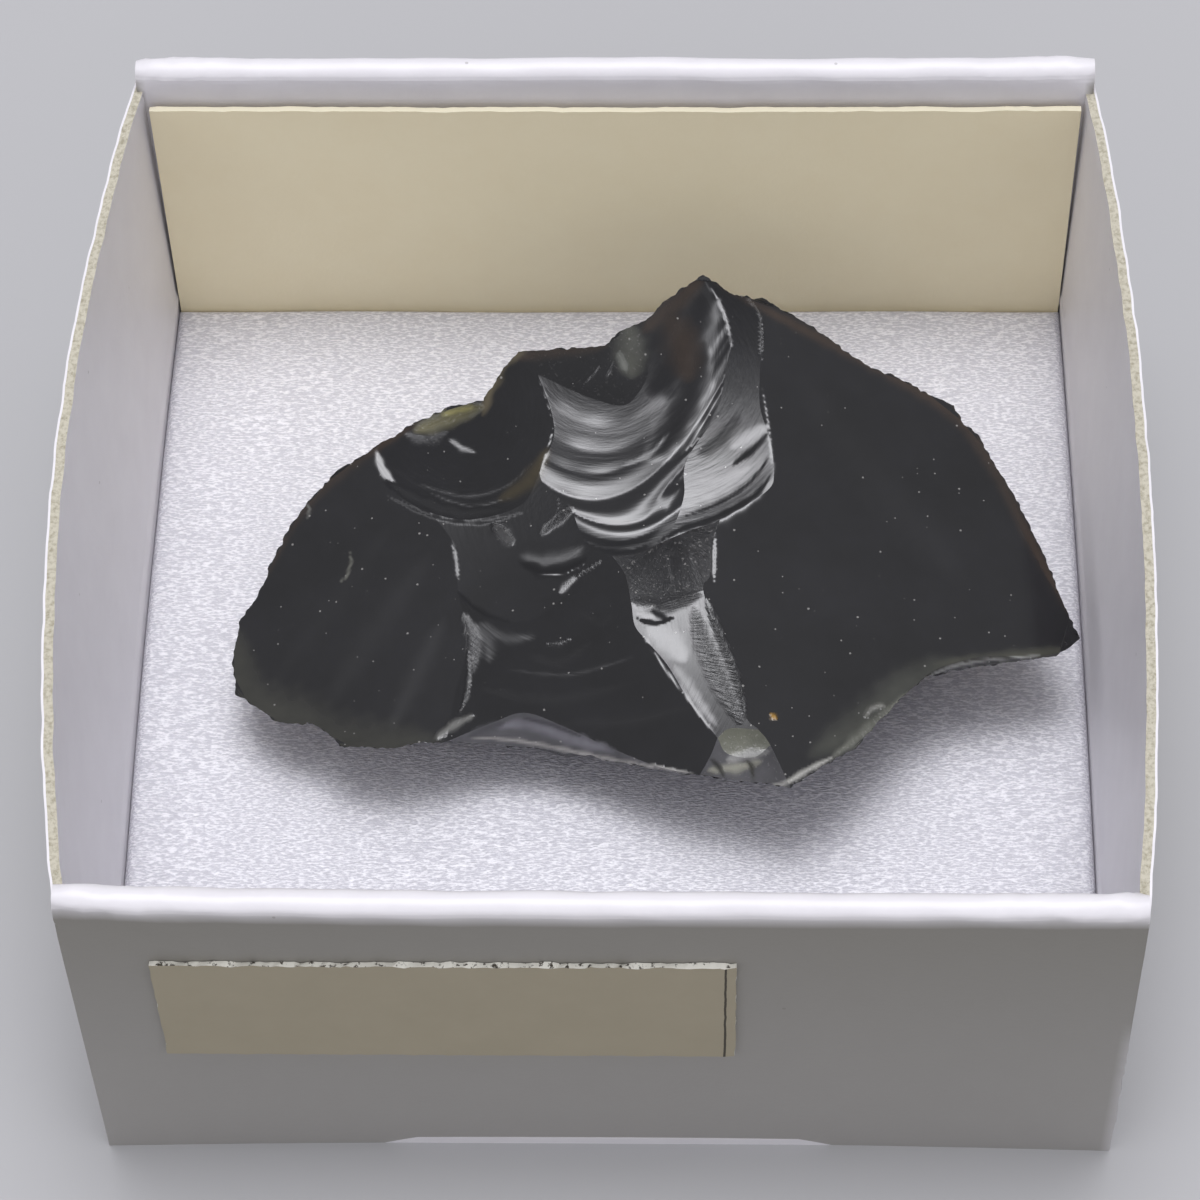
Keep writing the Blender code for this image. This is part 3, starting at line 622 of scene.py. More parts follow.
BRIGHT = (0.0, 0.24)
HALF_BRIGHT = (0.03, 0.34)
DEEP = (0.1, 0.9)
SHADE = (0.3, -0.15)
BROWN = "30261F"
OLIVE = "3E3E36"
CRUSHED = "8A8A88"
STROKES = (
    # Thin edges that light comes through
    stroke(((4.6, 13.3), (8.33, 11.35), (12.5, 9.2), (15.0, 7.5), (16.67, 5.0), (18.33, 1.75),
            (20.0, -1.4)), 0.35, tint=BROWN),
    stroke(((4.4, 13.5), (2.92, 12.2), (1.67, 11.1)), 0.5, tint=BROWN),
    stroke(((-3.6, 10.0), (-2.0, 10.4), (0.4, 10.6)), 0.4, tint=BROWN),
    stroke(((-14.0, 0.8), (-12.92, 3.2), (-11.25, 5.1), (-9.17, 6.5), (-7.4, 7.5)), 0.4, tint=BROWN),
    stroke(((-4.9, 7.6), (-4.5, 8.96), (-3.93, 9.92), (-3.0, 10.4)), 0.3, tint="5A5240"),
    stroke(((-7.8, 7.0), (-6.04, 7.7), (-4.8, 8.1)), 0.45, lean=(0.1, 0.5), tint="5F5B41", rough=0.6),
    stroke(((-6.6, 7.7), (-5.9, 7.9), (-5.2, 8.05)), 0.15, lean=(0.1, 0.4), tint="A09A66", rough=0.8),
    stroke(((-4.3, 4.1), (-2.92, 5.0), (-2.1, 6.4)), 0.4, tint="3A3323"),
    stroke(((8.6, -6.6), (11.2, -4.9), (12.9, -3.4), (15.0, -2.4)), 0.9, tint="363732"),
    stroke(((9.6, -6.6), (11.5, -5.1), (12.9, -3.8)), 0.28, tint="5A5B53", rough=0.5),
    stroke(((13.8, -2.7), (17.0, -2.4), (19.9, -2.0)), 0.35, tint=OLIVE),
    stroke(((-15.3, -1.0), (-14.7, -4.0), (-12.5, -5.1), (-10.62, -5.95), (-6.5, -5.9)), 1.3,
           tint="30302B"),
    stroke(((1.2, 11.6), (1.25, 10.6), (1.35, 9.2)), 0.75, tint="494A43", rough=0.4),
    stroke(((0.75, 10.35), (0.95, 9.95), (1.1, 9.5)), 0.2, tint="7E807A", rough=0.9),
    # Seams and glints round the bowl and the crescent
    stroke(((-0.7, 8.95), (-0.3, 9.35), (0.05, 9.8)), 0.1, lean=(0.0, 0.31), rough=0.4),
    stroke(((0.25, 9.2), (0.45, 9.6), (0.6, 10.0)), 0.12, lean=(0.0, 0.31), rough=0.4),
    stroke(((1.9, 5.8), (2.9, 6.9), (3.7, 8.6), (4.4, 10.8)), 1.0, lean=(0.1, 0.56)),
    stroke(((1.9, 8.4), (2.9, 9.6), (3.9, 11.4), (4.4, 13.2)), 1.1, lean=(0.1, 0.6)),
    stroke(((0.9, 5.6), (2.0, 6.0), (2.9, 7.0)), 0.14, lean=(0.03, 0.36)),
    stroke(((-2.68, 9.5), (-2.29, 8.54), (-1.9, 7.2)), 0.07, lean=HALF_BRIGHT),
    stroke(((-1.92, 7.3), (-2.12, 6.46), (-2.58, 5.0)), 0.08, lean=BRIGHT),
    stroke(((4.3, 13.4), (4.92, 12.5), (5.29, 11.46), (5.5, 10.4)), 0.09, lean=BRIGHT),
    stroke(((6.0, 12.6), (6.67, 11.88), (6.75, 9.9)), 0.08, lean=BRIGHT, rough=0.5),
    stroke(((6.75, 8.9), (7.05, 7.08), (7.2, 5.4)), 0.08, lean=BRIGHT),
    stroke(((7.0, 7.0), (6.33, 6.25), (5.5, 5.6)), 0.16, lean=(0.05, 0.6)),
    stroke(((5.4, 6.3), (6.3, 6.8), (7.0, 7.3)), 0.4, lean=(0.02, 0.30)),
    stroke(((4.0, 6.0), (4.9, 6.6), (5.9, 7.8)), 0.35, lean=(0.03, 0.47)),
    stroke(((1.9, 2.1), (3.2, 3.1), (4.7, 3.65), (6.2, 4.5), (7.3, 5.8)), 0.62, lean=(0.04, 0.42)),
    stroke(((2.3, 2.3), (3.4, 2.95), (4.9, 3.45), (6.5, 4.4), (7.2, 5.3)), 0.16, lean=(0.08, 0.62)),
    stroke(((3.4, 3.45), (4.8, 3.95), (6.2, 4.85), (7.15, 6.1)), 0.08, lean=(0.06, 0.55)),
    stroke(((3.9, 4.9), (5.2, 5.0), (6.3, 5.6)), 0.25, lean=(0.02, 0.3)),
    stroke(((2.7, 12.0), (3.4, 10.8), (3.7, 9.0)), 0.9, tint="2A211B"),
    # Scoop
    stroke(((-9.35, 6.3), (-9.1, 5.5), (-8.5, 4.8)), 0.26, lean=BRIGHT),
    stroke(((-6.35, 6.75), (-5.75, 6.33), (-5.1, 6.1)), 0.2, lean=(0.0, 0.34)),
    stroke(((-8.2, 6.9), (-7.2, 6.6), (-6.3, 7.0)), 0.3, lean=(0.05, 0.42), rough=0.4),
    stroke(((-7.8, 4.9), (-5.6, 4.3), (-3.8, 4.8), (-2.8, 5.8)), 0.12, lean=(0.06, 0.44)),
    stroke(((-7.2, 4.5), (-5.4, 3.9), (-3.6, 4.3)), 0.08, lean=(0.06, 0.4)),
    stroke(((-8.95, 5.0), (-7.71, 4.25), (-5.83, 3.6), (-3.9, 3.8)), 0.3, lean=DEEP),
    stroke(((-9.0, 4.4), (-7.08, 3.5), (-5.0, 3.2), (-3.0, 3.7)), 0.11, lean=(0.15, 0.5)),
    # Middle hollow
    stroke(((-2.5, 2.7), (-1.05, 3.9)), 0.24, lean=(0.02, 0.3), rough=0.4),
    stroke(((-3.4, 1.9), (-2.4, 1.6), (-1.3, 1.8), (-0.6, 2.3)), 0.45, lean=(0.12, 0.17)),
    stroke(((-3.4, 1.6), (-2.29, 1.15), (-1.04, 1.42), (-0.4, 1.85)), 0.28, lean=SHADE),
    stroke(((-2.6, 1.05), (-1.46, 1.1), (-0.5, 1.6)), 0.05, lean=BRIGHT),
    stroke(((-1.75, 0.25), (-0.95, 1.05)), 0.2, lean=BRIGHT, rough=0.2),
    stroke(((-1.1, 0.9), (-0.5, 1.25), (0.1, 1.65)), 0.06, lean=BRIGHT, rough=0.6),
    stroke(((-6.2, 2.5), (-6.0, 1.7), (-5.9, 0.8)), 0.1, lean=HALF_BRIGHT),
    stroke(((-6.0, 0.4), (-5.0, -0.5), (-3.7, -0.95)), 0.14, lean=SHADE),
    stroke(((-5.75, -0.5), (-5.3, -1.6), (-5.35, -3.2)), 0.35, lean=(0.03, 0.36), rough=0.5),
    stroke(((-5.2, -0.9), (-4.7, -1.7), (-4.6, -2.7)), 0.5, lean=(0.1, 0.38)),
    stroke(((-5.5, -2.0), (-5.5, -3.6), (-5.9, -4.9)), 0.12, lean=(0.02, 0.3), rough=0.7),
    stroke(((-5.0, -0.9), (-3.9, -1.6), (-2.6, -1.5)), 0.35, lean=(0.1, 0.39)),
    stroke(((-4.5, 3.2), (-3.6, 2.3)), 0.35, rough=0.7),
    # Apron
    stroke(((-3.0, -2.3), (-1.67, -2.6), (-0.3, -1.7)), 0.2, lean=DEEP),
    stroke(((-1.0, -0.4), (0.1, -1.0), (0.6, -0.6)), 0.12, lean=DEEP),
    stroke(((-2.3, -1.85), (-1.7, -1.85), (-1.2, -1.6)), 0.09, lean=BRIGHT, rough=0.6),
    stroke(((-5.0, -3.7), (-2.08, -4.15), (1.4, -3.5)), 0.24, lean=DEEP),
    stroke(((-1.5, -5.1), (1.25, -5.05), (3.9, -4.4)), 0.24, lean=DEEP),
    stroke(((-4.0, -2.9), (-1.2, -3.1), (1.6, -2.3)), 0.14, lean=(0.12, 0.42)),
    # Bright band
    stroke(((1.3, 0.0), (2.6, -0.15), (4.3, 0.3)), 0.4, lean=(0.06, 0.5), rough=0.3),
    stroke(((1.35, -0.15), (1.8, -0.35), (2.3, -0.3)), 0.16, lean=BRIGHT),
    stroke(((1.5, -0.55), (2.0, -0.7), (2.6, -0.6)), 0.13, lean=BRIGHT),
    stroke(((1.5, -0.75), (2.3, -1.0), (3.1, -0.7)), 0.1, lean=DEEP),
    stroke(((2.8, 1.9), (2.9, 1.2), (3.1, 0.6)), 0.12, lean=(0.02, 0.32), rough=0.6),
    stroke(((3.8, 2.2), (3.9, 1.4), (4.1, 0.8)), 0.12, lean=(0.02, 0.3), rough=0.6),
    stroke(((2.1, -0.4), (2.95, -0.9)), 0.15, lean=(0.05, 0.55)),
    stroke(((1.9, -1.1), (2.9, -1.7), (3.6, -2.6)), 0.6, lean=BRIGHT),
    stroke(((3.0, -2.6), (3.9, -3.9), (4.9, -5.3)), 0.3, lean=(0.0, 0.3)),
    stroke(((1.6, -1.1), (2.5, -2.58), (3.75, -4.25), (4.9, -5.8)), 0.08, lean=BRIGHT),
    stroke(((3.9, -0.2), (4.3, -1.6), (5.0, -3.2), (5.9, -5.2)), 0.5, lean=(-0.03, 0.37), rough=0.55),
    stroke(((4.4, 0.2), (5.0, -1.5), (5.6, -3.0), (6.1, -4.9)), 0.22, lean=(-0.05, 0.5), rough=0.5),
    stroke(((4.8, 2.9), (4.76, 1.4), (4.75, 0.6)), 0.09, lean=(0.0, 0.37)),
    stroke(((2.5, 1.8), (3.5, 2.1), (4.5, 2.3)), 0.2, lean=(0.02, 0.33), rough=0.8),
    # The two steep front slivers: worn edges, flow bands in the greys of a painted reflection of the pad,
    # and small chips
    stroke(((-5.8, -5.7), (-3.2, -5.9), (0.2, -6.6), (4.0, -7.25)), 0.12, tint="A2A09C", rough=0.6),
    stroke(((-4.6, -5.3), (-3.0, -5.2), (-1.2, -5.8), (0.8, -6.35)), 0.3, tint="77767C"),
    stroke(((-3.3, -4.9), (-2.0, -5.2), (-0.6, -5.75)), 0.12, tint="3B3A3F"),
    stroke(((-5.6, -5.75), (-4.6, -5.3), (-3.9, -5.1)), 0.2, tint="47474A"),
    stroke(((13.2, -3.5), (14.6, -2.8), (16.4, -2.5), (18.6, -2.3)), 0.09, tint="8E8F8C", rough=0.4),
    stroke(((14.2, -3.05), (16.2, -2.6), (18.2, -2.45)), 0.07, tint="29292C"),
    stroke(((4.4, -7.1), (5.6, -7.0), (6.8, -6.7)), 0.25, tint="8C8C80", rough=0.9),
    stroke(((4.6, -6.6), (5.0, -7.0), (5.2, -7.4)), 0.16, tint="2E2E2C", rough=0.3),
    stroke(((5.9, -6.4), (6.3, -6.9), (6.4, -7.5)), 0.14, tint="35352F", rough=0.3),
    stroke(((7.0, -7.7), (7.6, -7.7), (8.6, -7.1), (9.8, -6.5)), 0.14, tint="9C9B96", rough=0.6),
    # Faint streaks across the two flat facets
    stroke(((-7.0, 2.0), (-9.5, -1.5), (-11.5, -4.6)), 0.8, lean=(0.15, 0.06)),
    stroke(((-8.6, 3.2), (-11.0, 0.0), (-13.6, -3.4)), 0.6, lean=(0.16, 0.05)),
    stroke(((-6.4, -0.6), (-7.6, -3.0), (-8.8, -5.6)), 0.6, lean=(0.14, 0.07)),
    stroke(((8.2, 9.5), (11.5, 5.0), (15.5, 0.5)), 1.1, lean=(-0.13, 0.03)),
    # Two fibres
    stroke(((-10.45, 2.1), (-10.35, 1.6), (-10.55, 1.0), (-10.85, 0.7)), 0.065, tint="66665F"),
    stroke(((-12.3, 4.2), (-12.1, 3.8), (-12.2, 3.4)), 0.065, tint="5E5E5B"),
    # Crushed spots and a grain of yellow ash
    stroke(((-6.9, -5.8), (-6.04, -5.21), (-5.2, -4.8)), 0.2, tint="6E6E6B", rough=1.0),
    stroke(((5.2, -6.7), (7.1, -6.3)), 0.25, tint=CRUSHED, rough=1.0),
    stroke(((11.0, -4.9), (11.4, -4.5), (11.9, -4.35)), 0.16, tint="6F6F6A", rough=1.0),
    stroke(((7.1, -4.75), (7.35, -4.95)), 0.16, tint="A9823A", rough=1.0),
)
FOOTPRINT = ((-6.0, -1.5), (-2.0, -3.4), (4.5, -4.0), (9.5, -1.5), (9.5, 3.5), (5.5, 7.5), (0.0, 7.5),
             (-5.0, 3.5))
SHOULDERS = ((-11.5, -1.5, 6.6), (-8.0, -5.2, 6.4), (-1.5, -5.6, 6.0), (6.0, -7.0, 6.6), (10.0, -4.5, 6.4),
             (15.0, -0.5, 6.4), (13.5, 5.5, 6.7), (9.5, 9.5, 7.0), (4.0, 11.6, 7.2), (-3.0, 9.0, 7.0),
             (-8.0, 5.6, 6.6))

eye_turn = Matrix.Rotation(EYE_TURN, 3, "Z") @ Matrix.Rotation(math.pi / 2 - EYE_DOWN, 3, "X")
eye_turn = eye_turn @ Matrix.Rotation(EYE_ROLL, 3, "Z")
RIGHTWARDS, UPWARDS, TOWARDS = (np.array(eye_turn.col[i]) for i in range(3))


def on_drawing(points):
    """World places, in millimetres, of drawn points on the drawing's plane."""
    middle = np.array(EYE) - TOWARDS * DRAWING_DISTANCE
    return middle + points[:, :1] * RIGHTWARDS + points[:, 1:] * UPWARDS


def chipped_run(points, grain):
    """The closed outline in steps no longer than the grain, with tiny chips between its named points."""
    run = []
    for start, end in zip(points, points[1:] + points[:1]):
        start = np.array(start)
        end = np.array(end)
        length = float(np.linalg.norm(end - start))
        sideways = np.array((start[1] - end[1], end[0] - start[0])) / length
        steps = max(1, round(length / grain))
        for step in range(steps):
            place = start + (end - start) * step / steps
            chip = noise.noise(Vector((*place * 1.6, 1.0))) + noise.noise(Vector((*place * 4.0, 5.0)))
            run.append(place + sideways * RIM_CHIP * chip * math.sin(math.pi * step / steps) ** 0.5)
    return run


def drawn_mesh(grain):
    """Triangles that fill the outline and keep every ridge: points, triangles and ridge edges."""
    rim = chipped_run(OUTLINE, grain)
    points = list(rim)
    edges = []
    for ridge in RIDGES:
        run = smooth_run(ridge, grain)
        edges += [(len(points) + i, len(points) + i + 1) for i in range(len(run) - 1)]
        points += run
    tree = KDTree(len(points))
    for index, point in enumerate(points):
        tree.insert((*point, 0.0), index)
    tree.balance()
    low, high = np.min(points, axis=0), np.max(points, axis=0)
    for row, v in enumerate(np.arange(low[1], high[1], grain * math.sqrt(3) / 2)):
        for u in np.arange(low[0] + (row % 2) * grain / 2, high[0], grain):
            if tree.find((u, v, 0.0))[2] > 0.6 * grain:
                points.append((u, v))
    found = delaunay_2d_cdt([Vector(p) for p in points], edges, [list(range(len(rim)))], 1, 1e-5)
    used, triangles = np.unique(np.array(found[2]), return_inverse=True)
    places = np.array([tuple(found[0][index]) for index in used])
    number = {old: new for new, old in enumerate(used)}
    drawn = {tuple(sorted((number[a], number[b]))) for (a, b), source in zip(found[1], found[4])
             if source and a in number and b in number}
    return places, triangles.reshape(-1, 3), drawn


def share_out(points, triangles, drawn):
    """The facet that each triangle belongs to, spread from the facets' inner points."""
    neighbours = {}
    for index, (a, b, c) in enumerate(triangles.tolist()):
        for edge in ((a, b), (b, c), (c, a)):
            neighbours.setdefault(tuple(sorted(edge)), []).append(index)
    middles = points[triangles].mean(axis=1)
    owner = np.full(len(triangles), -1)
    front = []
    for number, scar in enumerate(FACETS):
        start = int(np.argmin(np.sum((middles - scar["seed"]) ** 2, axis=1)))
        owner[start] = number
        front.append(start)
    rows = triangles.tolist()
    for crossing in (False, True):
        if crossing:
            front = [index for index in range(len(rows)) if owner[index] >= 0]
        while front:
            index = front.pop()
            a, b, c = rows[index]
            for edge in ((a, b), (b, c), (c, a)):
                key = tuple(sorted(edge))
                if key in drawn and not crossing:
                    continue
                for other in neighbours[key]:
                    if owner[other] < 0:
                        owner[other] = owner[index]
                        front.append(other)
    return owner, middles


def stroke_weight(places, path, width):
    """How much a stroke counts at drawn places: 1 along its middle, 0 past its ragged sides and ends."""
    weight = np.zeros(len(places))
    near = np.all((places > np.min(path, axis=0) - 2 * width) & (places < np.max(path, axis=0) + 2 * width),
                  axis=1)
    places = places[near]
    nearest = np.full(len(places), np.inf)
    reached = np.zeros(len(places))
    runs = [np.array(end) - np.array(start) for start, end in zip(path, path[1:])]
    lengths = [float(np.linalg.norm(run)) for run in runs]
    for index, run in enumerate(runs):
        start = np.array(path[index])
        along = np.clip((places - start) @ run / (run @ run), 0.0, 1.0)
        distance = np.linalg.norm(places - start - along[:, None] * run, axis=1)
        closer = distance < nearest
        nearest[closer] = distance[closer]
        reached[closer] = ((sum(lengths[:index]) + along * lengths[index]) / sum(lengths))[closer]
    taper = np.sqrt(np.clip(np.sin(math.pi * reached), 0.0, 1.0))
    ragged = np.sin(7.3 * places[:, 0] + 2.1 * places[:, 1])
    ragged += np.sin(9.1 * places[:, 1] - 4.7 * places[:, 0])
    ragged *= 0.2 if width < 0.34 else 0.08
    part = np.clip(nearest / (width * (taper * (1.35 + ragged) + 0.01)), 0.0, 1.0)
    weight[near] = (1.0 - part * part * (3.0 - 2.0 * part)) * np.clip(taper * 1.6, 0.0, 1.0)
    return weight


def ripple(places):
    """The bowl's slopes: each ripple brightens slowly from above and ends in a darker trough."""
    drop = places[:, 1]
    for _ in range(3):
        middle = np.interp(drop, RIPPLE_PLACE, RIPPLE_MIDDLE)
        drop = places[:, 1] - RIPPLE_CURVE * (places[:, 0] - middle) ** 2
    turns = np.interp(drop, RIPPLE_PLACE, np.arange(len(RIPPLE_PLACE), 0, -1.0))
    part = turns % 1.0
    rising = (1 - np.cos(math.pi * np.clip((part - 0.15) / 0.6, 0.0, 1.0))) / 2
    falling = (1 + np.cos(math.pi * np.clip((part - 0.76) / 0.17, 0.0, 1.0))) / 2
    wave = np.where(part < 0.76, rising, falling)
    crest = np.interp(drop, RIPPLE_PLACE, RIPPLE_CREST) + RIPPLE_FADE * (places[:, 0] + 0.3) ** 2
    crest += 0.03 * np.sin(1.9 * places[:, 0] + 0.8 * places[:, 1])
    crest += 0.02 * np.sin(3.3 * places[:, 0] - 2.7 * places[:, 1])
    trough = np.interp(drop, RIPPLE_PLACE, RIPPLE_TROUGH)
    slope = trough + (crest - trough) * wave
    sideways = -2 * RIPPLE_CURVE * (places[:, 0] - middle)
    reach = np.hypot(sideways, 1.0)
    return np.column_stack([slope * sideways / reach, slope / reach])


def surface_lean(places, owner):
    """Slopes rightwards and backwards that the stone has at drawn places."""
    lean = np.zeros((len(places), 2))
    for number, scar in enumerate(FACETS):
        mine = owner == number
        offset = places[mine] - scar["seed"]
        lean[mine] = np.array(scar["slope"]) + np.array(scar["growth"]) * offset
        if number == BOWL:
            lean[mine] += ripple(places[mine])
    for mark in STROKES:
        if mark["lean"]:
            weight = stroke_weight(places, mark["path"], mark["width"])[:, None]
            lean = lean * (1 - weight) + np.array(mark["lean"]) * weight
    return lean


def wanted_slopes(lean):
    """How fast the surface rises towards the eye, rightwards and upwards in the drawing."""
    normals = np.column_stack([-lean, np.ones(len(lean))])
    facing = normals @ TOWARDS
    return np.column_stack([-(normals @ RIGHTWARDS) / facing, -(normals @ UPWARDS) / facing])


def fitted_rise(points, triangles, slopes, held, held_rise):
    """The surface whose slopes come closest to the wanted ones, found by conjugate gradients."""
    corners = points[triangles]
    across = corners[:, [2, 0, 1]] - corners[:, [1, 2, 0]]
    turned = np.stack([-across[:, :, 1], across[:, :, 0]], axis=2)
    ab, ac = corners[:, 1] - corners[:, 0], corners[:, 2] - corners[:, 0]
    twice = ab[:, 0] * ac[:, 1] - ab[:, 1] * ac[:, 0]
    shape = turned / twice[:, None, None]
    area = np.abs(twice) / 2
    stiffness = np.einsum("tid,tjd,t->tij", shape, shape, area)
    count = len(points)
    pull = np.bincount(triangles.ravel(), np.einsum("tid,td,t->ti", shape, slopes, area).ravel(), count)
    scale = np.bincount(triangles.ravel(), stiffness[:, range(3), range(3)].ravel(), count)
    rise = np.zeros(count)
    residual = pull
    step = residual / scale
    energy = residual @ step
    goal = 1e-12 * energy
    for _ in range(4000):
        spread = np.einsum("tij,tj->ti", stiffness, step[triangles])
        moved = np.bincount(triangles.ravel(), spread.ravel(), count)
        length = energy / (step @ moved)
        rise = rise + length * step
        residual = residual - length * moved
        ready = residual / scale
        following = residual @ ready
        if following < goal:
            break
        step = ready + following / energy * step
        energy = following
    return rise + held_rise - rise[held]


points, triangles, drawn = drawn_mesh(STONE_GRAIN)
owner, middles = share_out(points, triangles, drawn)
apex = int(np.argmin(np.sum((points - np.array(APEX)) ** 2, axis=1)))
apex_flat = on_drawing(np.array([APEX]))[0]
apex_rise = DRAWING_DISTANCE * (APEX_HEIGHT - apex_flat[2]) / (EYE.z - apex_flat[2])
slopes = wanted_slopes(surface_lean(middles, owner))
rise = fitted_rise(points, triangles, slopes, apex, apex_rise)
flat = on_drawing(points)
upper = flat + (np.array(EYE) - flat) * (rise / DRAWING_DISTANCE)[:, None]

# The rim, in order, and the underside that closes the stone below it
counts = {}
for a, b, c in triangles.tolist():
    for edge in ((a, b), (b, c), (c, a)):
        counts[tuple(sorted(edge))] = counts.get(tuple(sorted(edge)), 0) + 1
onwards = {}
for a, b, c in triangles.tolist():
    for edge in ((a, b), (b, c), (c, a)):
        if counts[tuple(sorted(edge))] == 1:
            onwards[edge[0]] = edge[1]
rim = [apex]
while onwards[rim[-1]] != apex:
    rim.append(onwards[rim[-1]])
plan = [Vector(upper[index][:2]) for index in rim] + [Vector(p[:2]) for p in FOOTPRINT + SHOULDERS]
low_points = [(*p, STONE_BOTTOM) for p in FOOTPRINT] + list(SHOULDERS)
foot = list(range(len(rim), len(rim) + len(FOOTPRINT)))
found = delaunay_2d_cdt(plan, list(zip(foot, foot[1:] + foot[:1])), [list(range(len(rim)))], 1, 1e-5)
number = {}
for index, sources in enumerate(found[3]):
    source = sources[0]
    number[index] = rim[source] if source < len(rim) else len(upper) + source - len(rim)
verts = [Vector(p) * MM for p in upper] + [Vector(p) * MM for p in low_points]
under = [(number[a], number[c], number[b]) for a, b, c in found[2]]

mesh = bpy.data.meshes.new("obsidian")
mesh.from_pydata(verts, [], triangles.tolist() + under)
stone = bpy.data.objects.new("knapped_obsidian", mesh)
bpy.context.collection.objects.link(stone)

# Each corner takes the lean of its own scar, so that an edge between two scars stays crisp
corner_places = points[triangles.ravel()]
corner_owner = np.repeat(owner, 3)
lean = surface_lean(corner_places, corner_owner)
normals = np.column_stack([-lean, np.ones(len(lean))])
normals /= np.linalg.norm(normals, axis=1)[:, None]
under_normals = [face.normal for face in list(mesh.polygons)[len(triangles):] for _ in range(3)]
mesh.shade_smooth()
mesh.normals_split_custom_set([Vector(n) for n in normals] + under_normals)

tints = np.array([hex_colour(scar["tint"]) for scar in FACETS])[corner_owner]
rough = np.array([scar["rough"] for scar in FACETS])[corner_owner]
fine = np.array([scar["fine"] for scar in FACETS])[corner_owner]
struck = np.array([scar["struck"] for scar in FACETS])[corner_owner]
for mark in STROKES:
    weight = stroke_weight(corner_places, mark["path"], mark["width"])
    if mark["tint"]:
        tints = tints * (1 - weight[:, None]) + np.array(hex_colour(mark["tint"])) * weight[:, None]
    if mark["rough"] is not None:
        rough = rough * (1 - weight) + mark["rough"] * weight
away = corner_places - struck
blow = np.column_stack([np.hypot(away[:, 0], away[:, 1]), np.arctan2(away[:, 0], -away[:, 1])])
below = 3 * len(under)
layer = mesh.attributes.new("tint", "FLOAT_COLOR", "CORNER")
layer.data.foreach_set("color", np.vstack([tints, np.tile(hex_colour(GLASS_BLACK), (below, 1))]).ravel())
for name, values, rest in (("rough", rough, 0.1), ("fine", fine, 0.3)):
    layer = mesh.attributes.new(name, "FLOAT", "CORNER")
    layer.data.foreach_set("value", np.concatenate([values, np.full(below, rest)]))
layer = mesh.uv_layers.new(name="blow")
layer.data.foreach_set("uv", np.vstack([blow, np.zeros((below, 2))]).ravel())

# Black glass broken by blows: a mirror on smooth scars, finely rippled and hackled on rough ones
glass, shader = new_material("knapped volcanic glass", IOR=1.5, Specular_IOR_Level=0.55)
place = add(glass, "ShaderNodeTexCoord").outputs["Object"]
blow_map = add(glass, "ShaderNodeUVMap", uv_map="blow").outputs["UV"]
tint_map = add(glass, "ShaderNodeAttribute", attribute_name="tint").outputs["Color"]
rough_map = add(glass, "ShaderNodeAttribute", attribute_name="rough").outputs["Fac"]
fine_map = add(glass, "ShaderNodeAttribute", attribute_name="fine").outputs["Fac"]
# Fine ripples every 0.15 mm or so out from the blow, and hackles that run straight away from it
ring_place = add(glass, "ShaderNodeMapping", [(blow_map, "Vector")], Scale=(5.0, 3.0, 1.0))
rings = add(glass, "ShaderNodeTexNoise", [(ring_place.outputs[0], "Vector")], Scale=1.0, Detail=3.0,
            Roughness=0.6)
hackle_place = add(glass, "ShaderNodeMapping", [(blow_map, "Vector")], Scale=(1.0, 60.0, 1.0))
hackles = add(glass, "ShaderNodeTexNoise", [(hackle_place.outputs[0], "Vector")], Scale=1.0, Detail=3.0,
              Roughness=0.65)
chips = add(glass, "ShaderNodeTexNoise", [(place, "Vector")], Scale=7000.0, Detail=3.0, Roughness=0.7)
fine_height = add(glass, "ShaderNodeMath", [(rings.outputs["Fac"], 0), (fine_map, 1)], operation="MULTIPLY")
hackle_sum = add(glass, "ShaderNodeMath", [(chips.outputs["Fac"], 0), (hackles.outputs["Fac"], 2)],
                 operation="MULTIPLY_ADD")
hackle_sum.inputs[1].default_value = 0.4
rough_height = add(glass, "ShaderNodeMath", [(hackle_sum.outputs[0], 0), (rough_map, 1)],
                   operation="MULTIPLY")
fine_bump = add(glass, "ShaderNodeBump", [(fine_height.outputs[0], "Height")], Strength=1.0,
                Distance=0.000012)
bump = add(glass, "ShaderNodeBump", [(rough_height.outputs[0], "Height"), (fine_bump.outputs[0], "Normal")],
           Strength=1.0, Distance=0.00006)
# Dust: pale specks up to 0.1 mm across, and crumbs where the glass is crushed
specks = add(glass, "ShaderNodeTexVoronoi", [(place, "Vector")], Scale=3000.0)
chance = add(glass, "ShaderNodeSeparateColor", [(specks.outputs["Color"], 0)])
speck_size = add(glass, "ShaderNodeMath", [(chance.outputs[0], 0)], operation="POWER")
speck_size.inputs[1].default_value = 4.0
speck_reach = add(glass, "ShaderNodeMath", [(speck_size.outputs[0], 0)], operation="MULTIPLY")
speck_reach.inputs[1].default_value = 0.16
speck = add(glass, "ShaderNodeMath", [(specks.outputs["Distance"], 0), (speck_reach.outputs[0], 1)],
            operation="LESS_THAN")
crumbs = add(glass, "ShaderNodeMath", [(chips.outputs["Fac"], 0)], operation="GREATER_THAN")
crumbs.inputs[1].default_value = 0.63
crumb = add(glass, "ShaderNodeMath", [(crumbs.outputs[0], 0), (rough_map, 1)], operation="MULTIPLY")
white = add(glass, "ShaderNodeMath", [(speck.outputs[0], 0), (crumb.outputs[0], 1)], operation="MAXIMUM")
some = add(glass, "ShaderNodeMath", [(white.outputs[0], 0)], operation="MULTIPLY")
some.inputs[1].default_value = 0.4
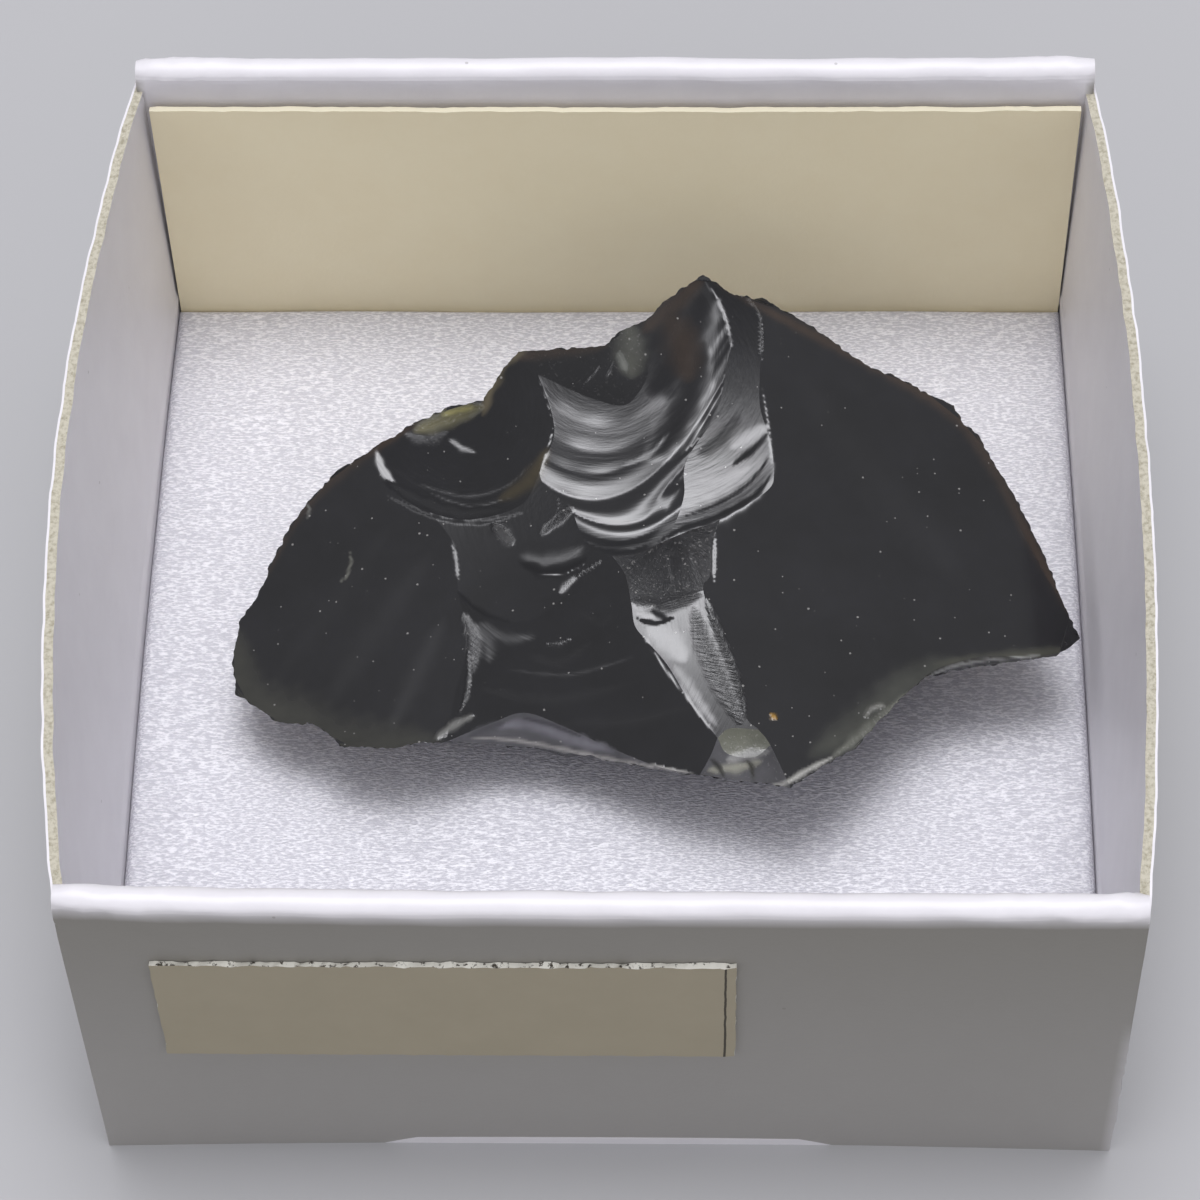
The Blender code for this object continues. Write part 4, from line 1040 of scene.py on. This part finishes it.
# Flow clouds about 4 mm across, just visible in the black
clouds = add(glass, "ShaderNodeTexNoise", [(place, "Vector")], Scale=260.0, Detail=4.0, Roughness=0.65)
cloud = add(glass, "ShaderNodeMapRange", [(clouds.outputs["Fac"], "Value")])
cloud.inputs["From Min"].default_value = 0.3
cloud.inputs["From Max"].default_value = 0.7
cloud.inputs["To Min"].default_value = 0.55
cloud.inputs["To Max"].default_value = 1.35
clouded = add(glass, "ShaderNodeVectorMath", [(tint_map, 0), (cloud.outputs["Result"], "Scale")],
              operation="SCALE")
dusted = add(glass, "ShaderNodeMix", [(some.outputs[0], 0), (clouded.outputs[0], 6)], data_type="RGBA")
dusted.inputs[7].default_value = hex_colour(DUST)
gloss = add(glass, "ShaderNodeMapRange", [(rough_map, "Value")])
gloss.inputs["To Min"].default_value = 0.12
gloss.inputs["To Max"].default_value = 0.40
glass.node_tree.links.new(dusted.outputs[2], shader.inputs["Base Color"])
glass.node_tree.links.new(gloss.outputs["Result"], shader.inputs["Roughness"])
glass.node_tree.links.new(bump.outputs["Normal"], shader.inputs["Normal"])
mesh.materials.append(glass)
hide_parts("obsidian_chunk")
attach(stone, "root")


# Floor, lights and camera
# A plain pale table top under a soft white dome. Its bright middle, a round softbox a little behind the
# box's zenith, gives the glass its highlights. The camera is where the drawing's eye is.
TABLE_GREY = "B3B3B5"
DOME_WHITE = "FBFBFF"
LENS_LENGTH = 125.29

bpy.ops.mesh.primitive_plane_add(size=3.0)
floor = bpy.context.object
floor.name = "table_top"
table, shader = new_material("matt pale table", Base_Color=hex_colour(TABLE_GREY), Roughness=0.7)
floor.data.materials.append(table)

world = bpy.data.worlds.new("studio")
bpy.context.scene.world = world
world.use_nodes = True
background = world.node_tree.nodes["Background"]
direction = add(world, "ShaderNodeTexCoord").outputs["Generated"]


def glow(azimuth, elevation, radiance, tightness):
    """A round glow of the dome: where its middle is, with azimuth 0 straight behind the box, how bright it
    is, and how tight."""
    a, e = math.radians(azimuth), math.radians(elevation)
    towards = add(world, "ShaderNodeVectorMath", [(direction, 0)], operation="DOT_PRODUCT")
    towards.inputs[1].default_value = (math.sin(a) * math.cos(e), math.cos(a) * math.cos(e), math.sin(e))
    fall = add(world, "ShaderNodeMath", [(towards.outputs["Value"], 0)], operation="MULTIPLY_ADD")
    fall.inputs[1].default_value = tightness
    fall.inputs[2].default_value = math.log(radiance) - tightness
    return add(world, "ShaderNodeMath", [(fall.outputs[0], 0)], operation="EXPONENT").outputs[0]


light = glow(0.0, 83.0, 13.0, 40.0)
for lamp in (glow(0.0, 70.0, 0.72, 3.0), glow(-130.0, 30.0, 1.0, 10.0), glow(130.0, 30.0, 1.0, 10.0),
             glow(180.0, 25.0, 0.65, 12.0)):
    light = add(world, "ShaderNodeMath", [(light, 0), (lamp, 1)], operation="ADD").outputs[0]
light = add(world, "ShaderNodeMath", [(light, 0)], operation="ADD")
light.inputs[1].default_value = 0.06
world.node_tree.links.new(light.outputs[0], background.inputs["Strength"])
background.inputs["Color"].default_value = hex_colour(DOME_WHITE)

lens = bpy.data.cameras.new("camera")
lens.sensor_width = 36.0
lens.lens = LENS_LENGTH
lens.clip_start = 0.01
camera = bpy.data.objects.new("camera", lens)
bpy.context.collection.objects.link(camera)
camera.matrix_world = Matrix.Translation(EYE * MM) @ eye_turn.to_4x4()
bpy.context.scene.camera = camera
bpy.context.scene.view_settings.view_transform = "Standard"
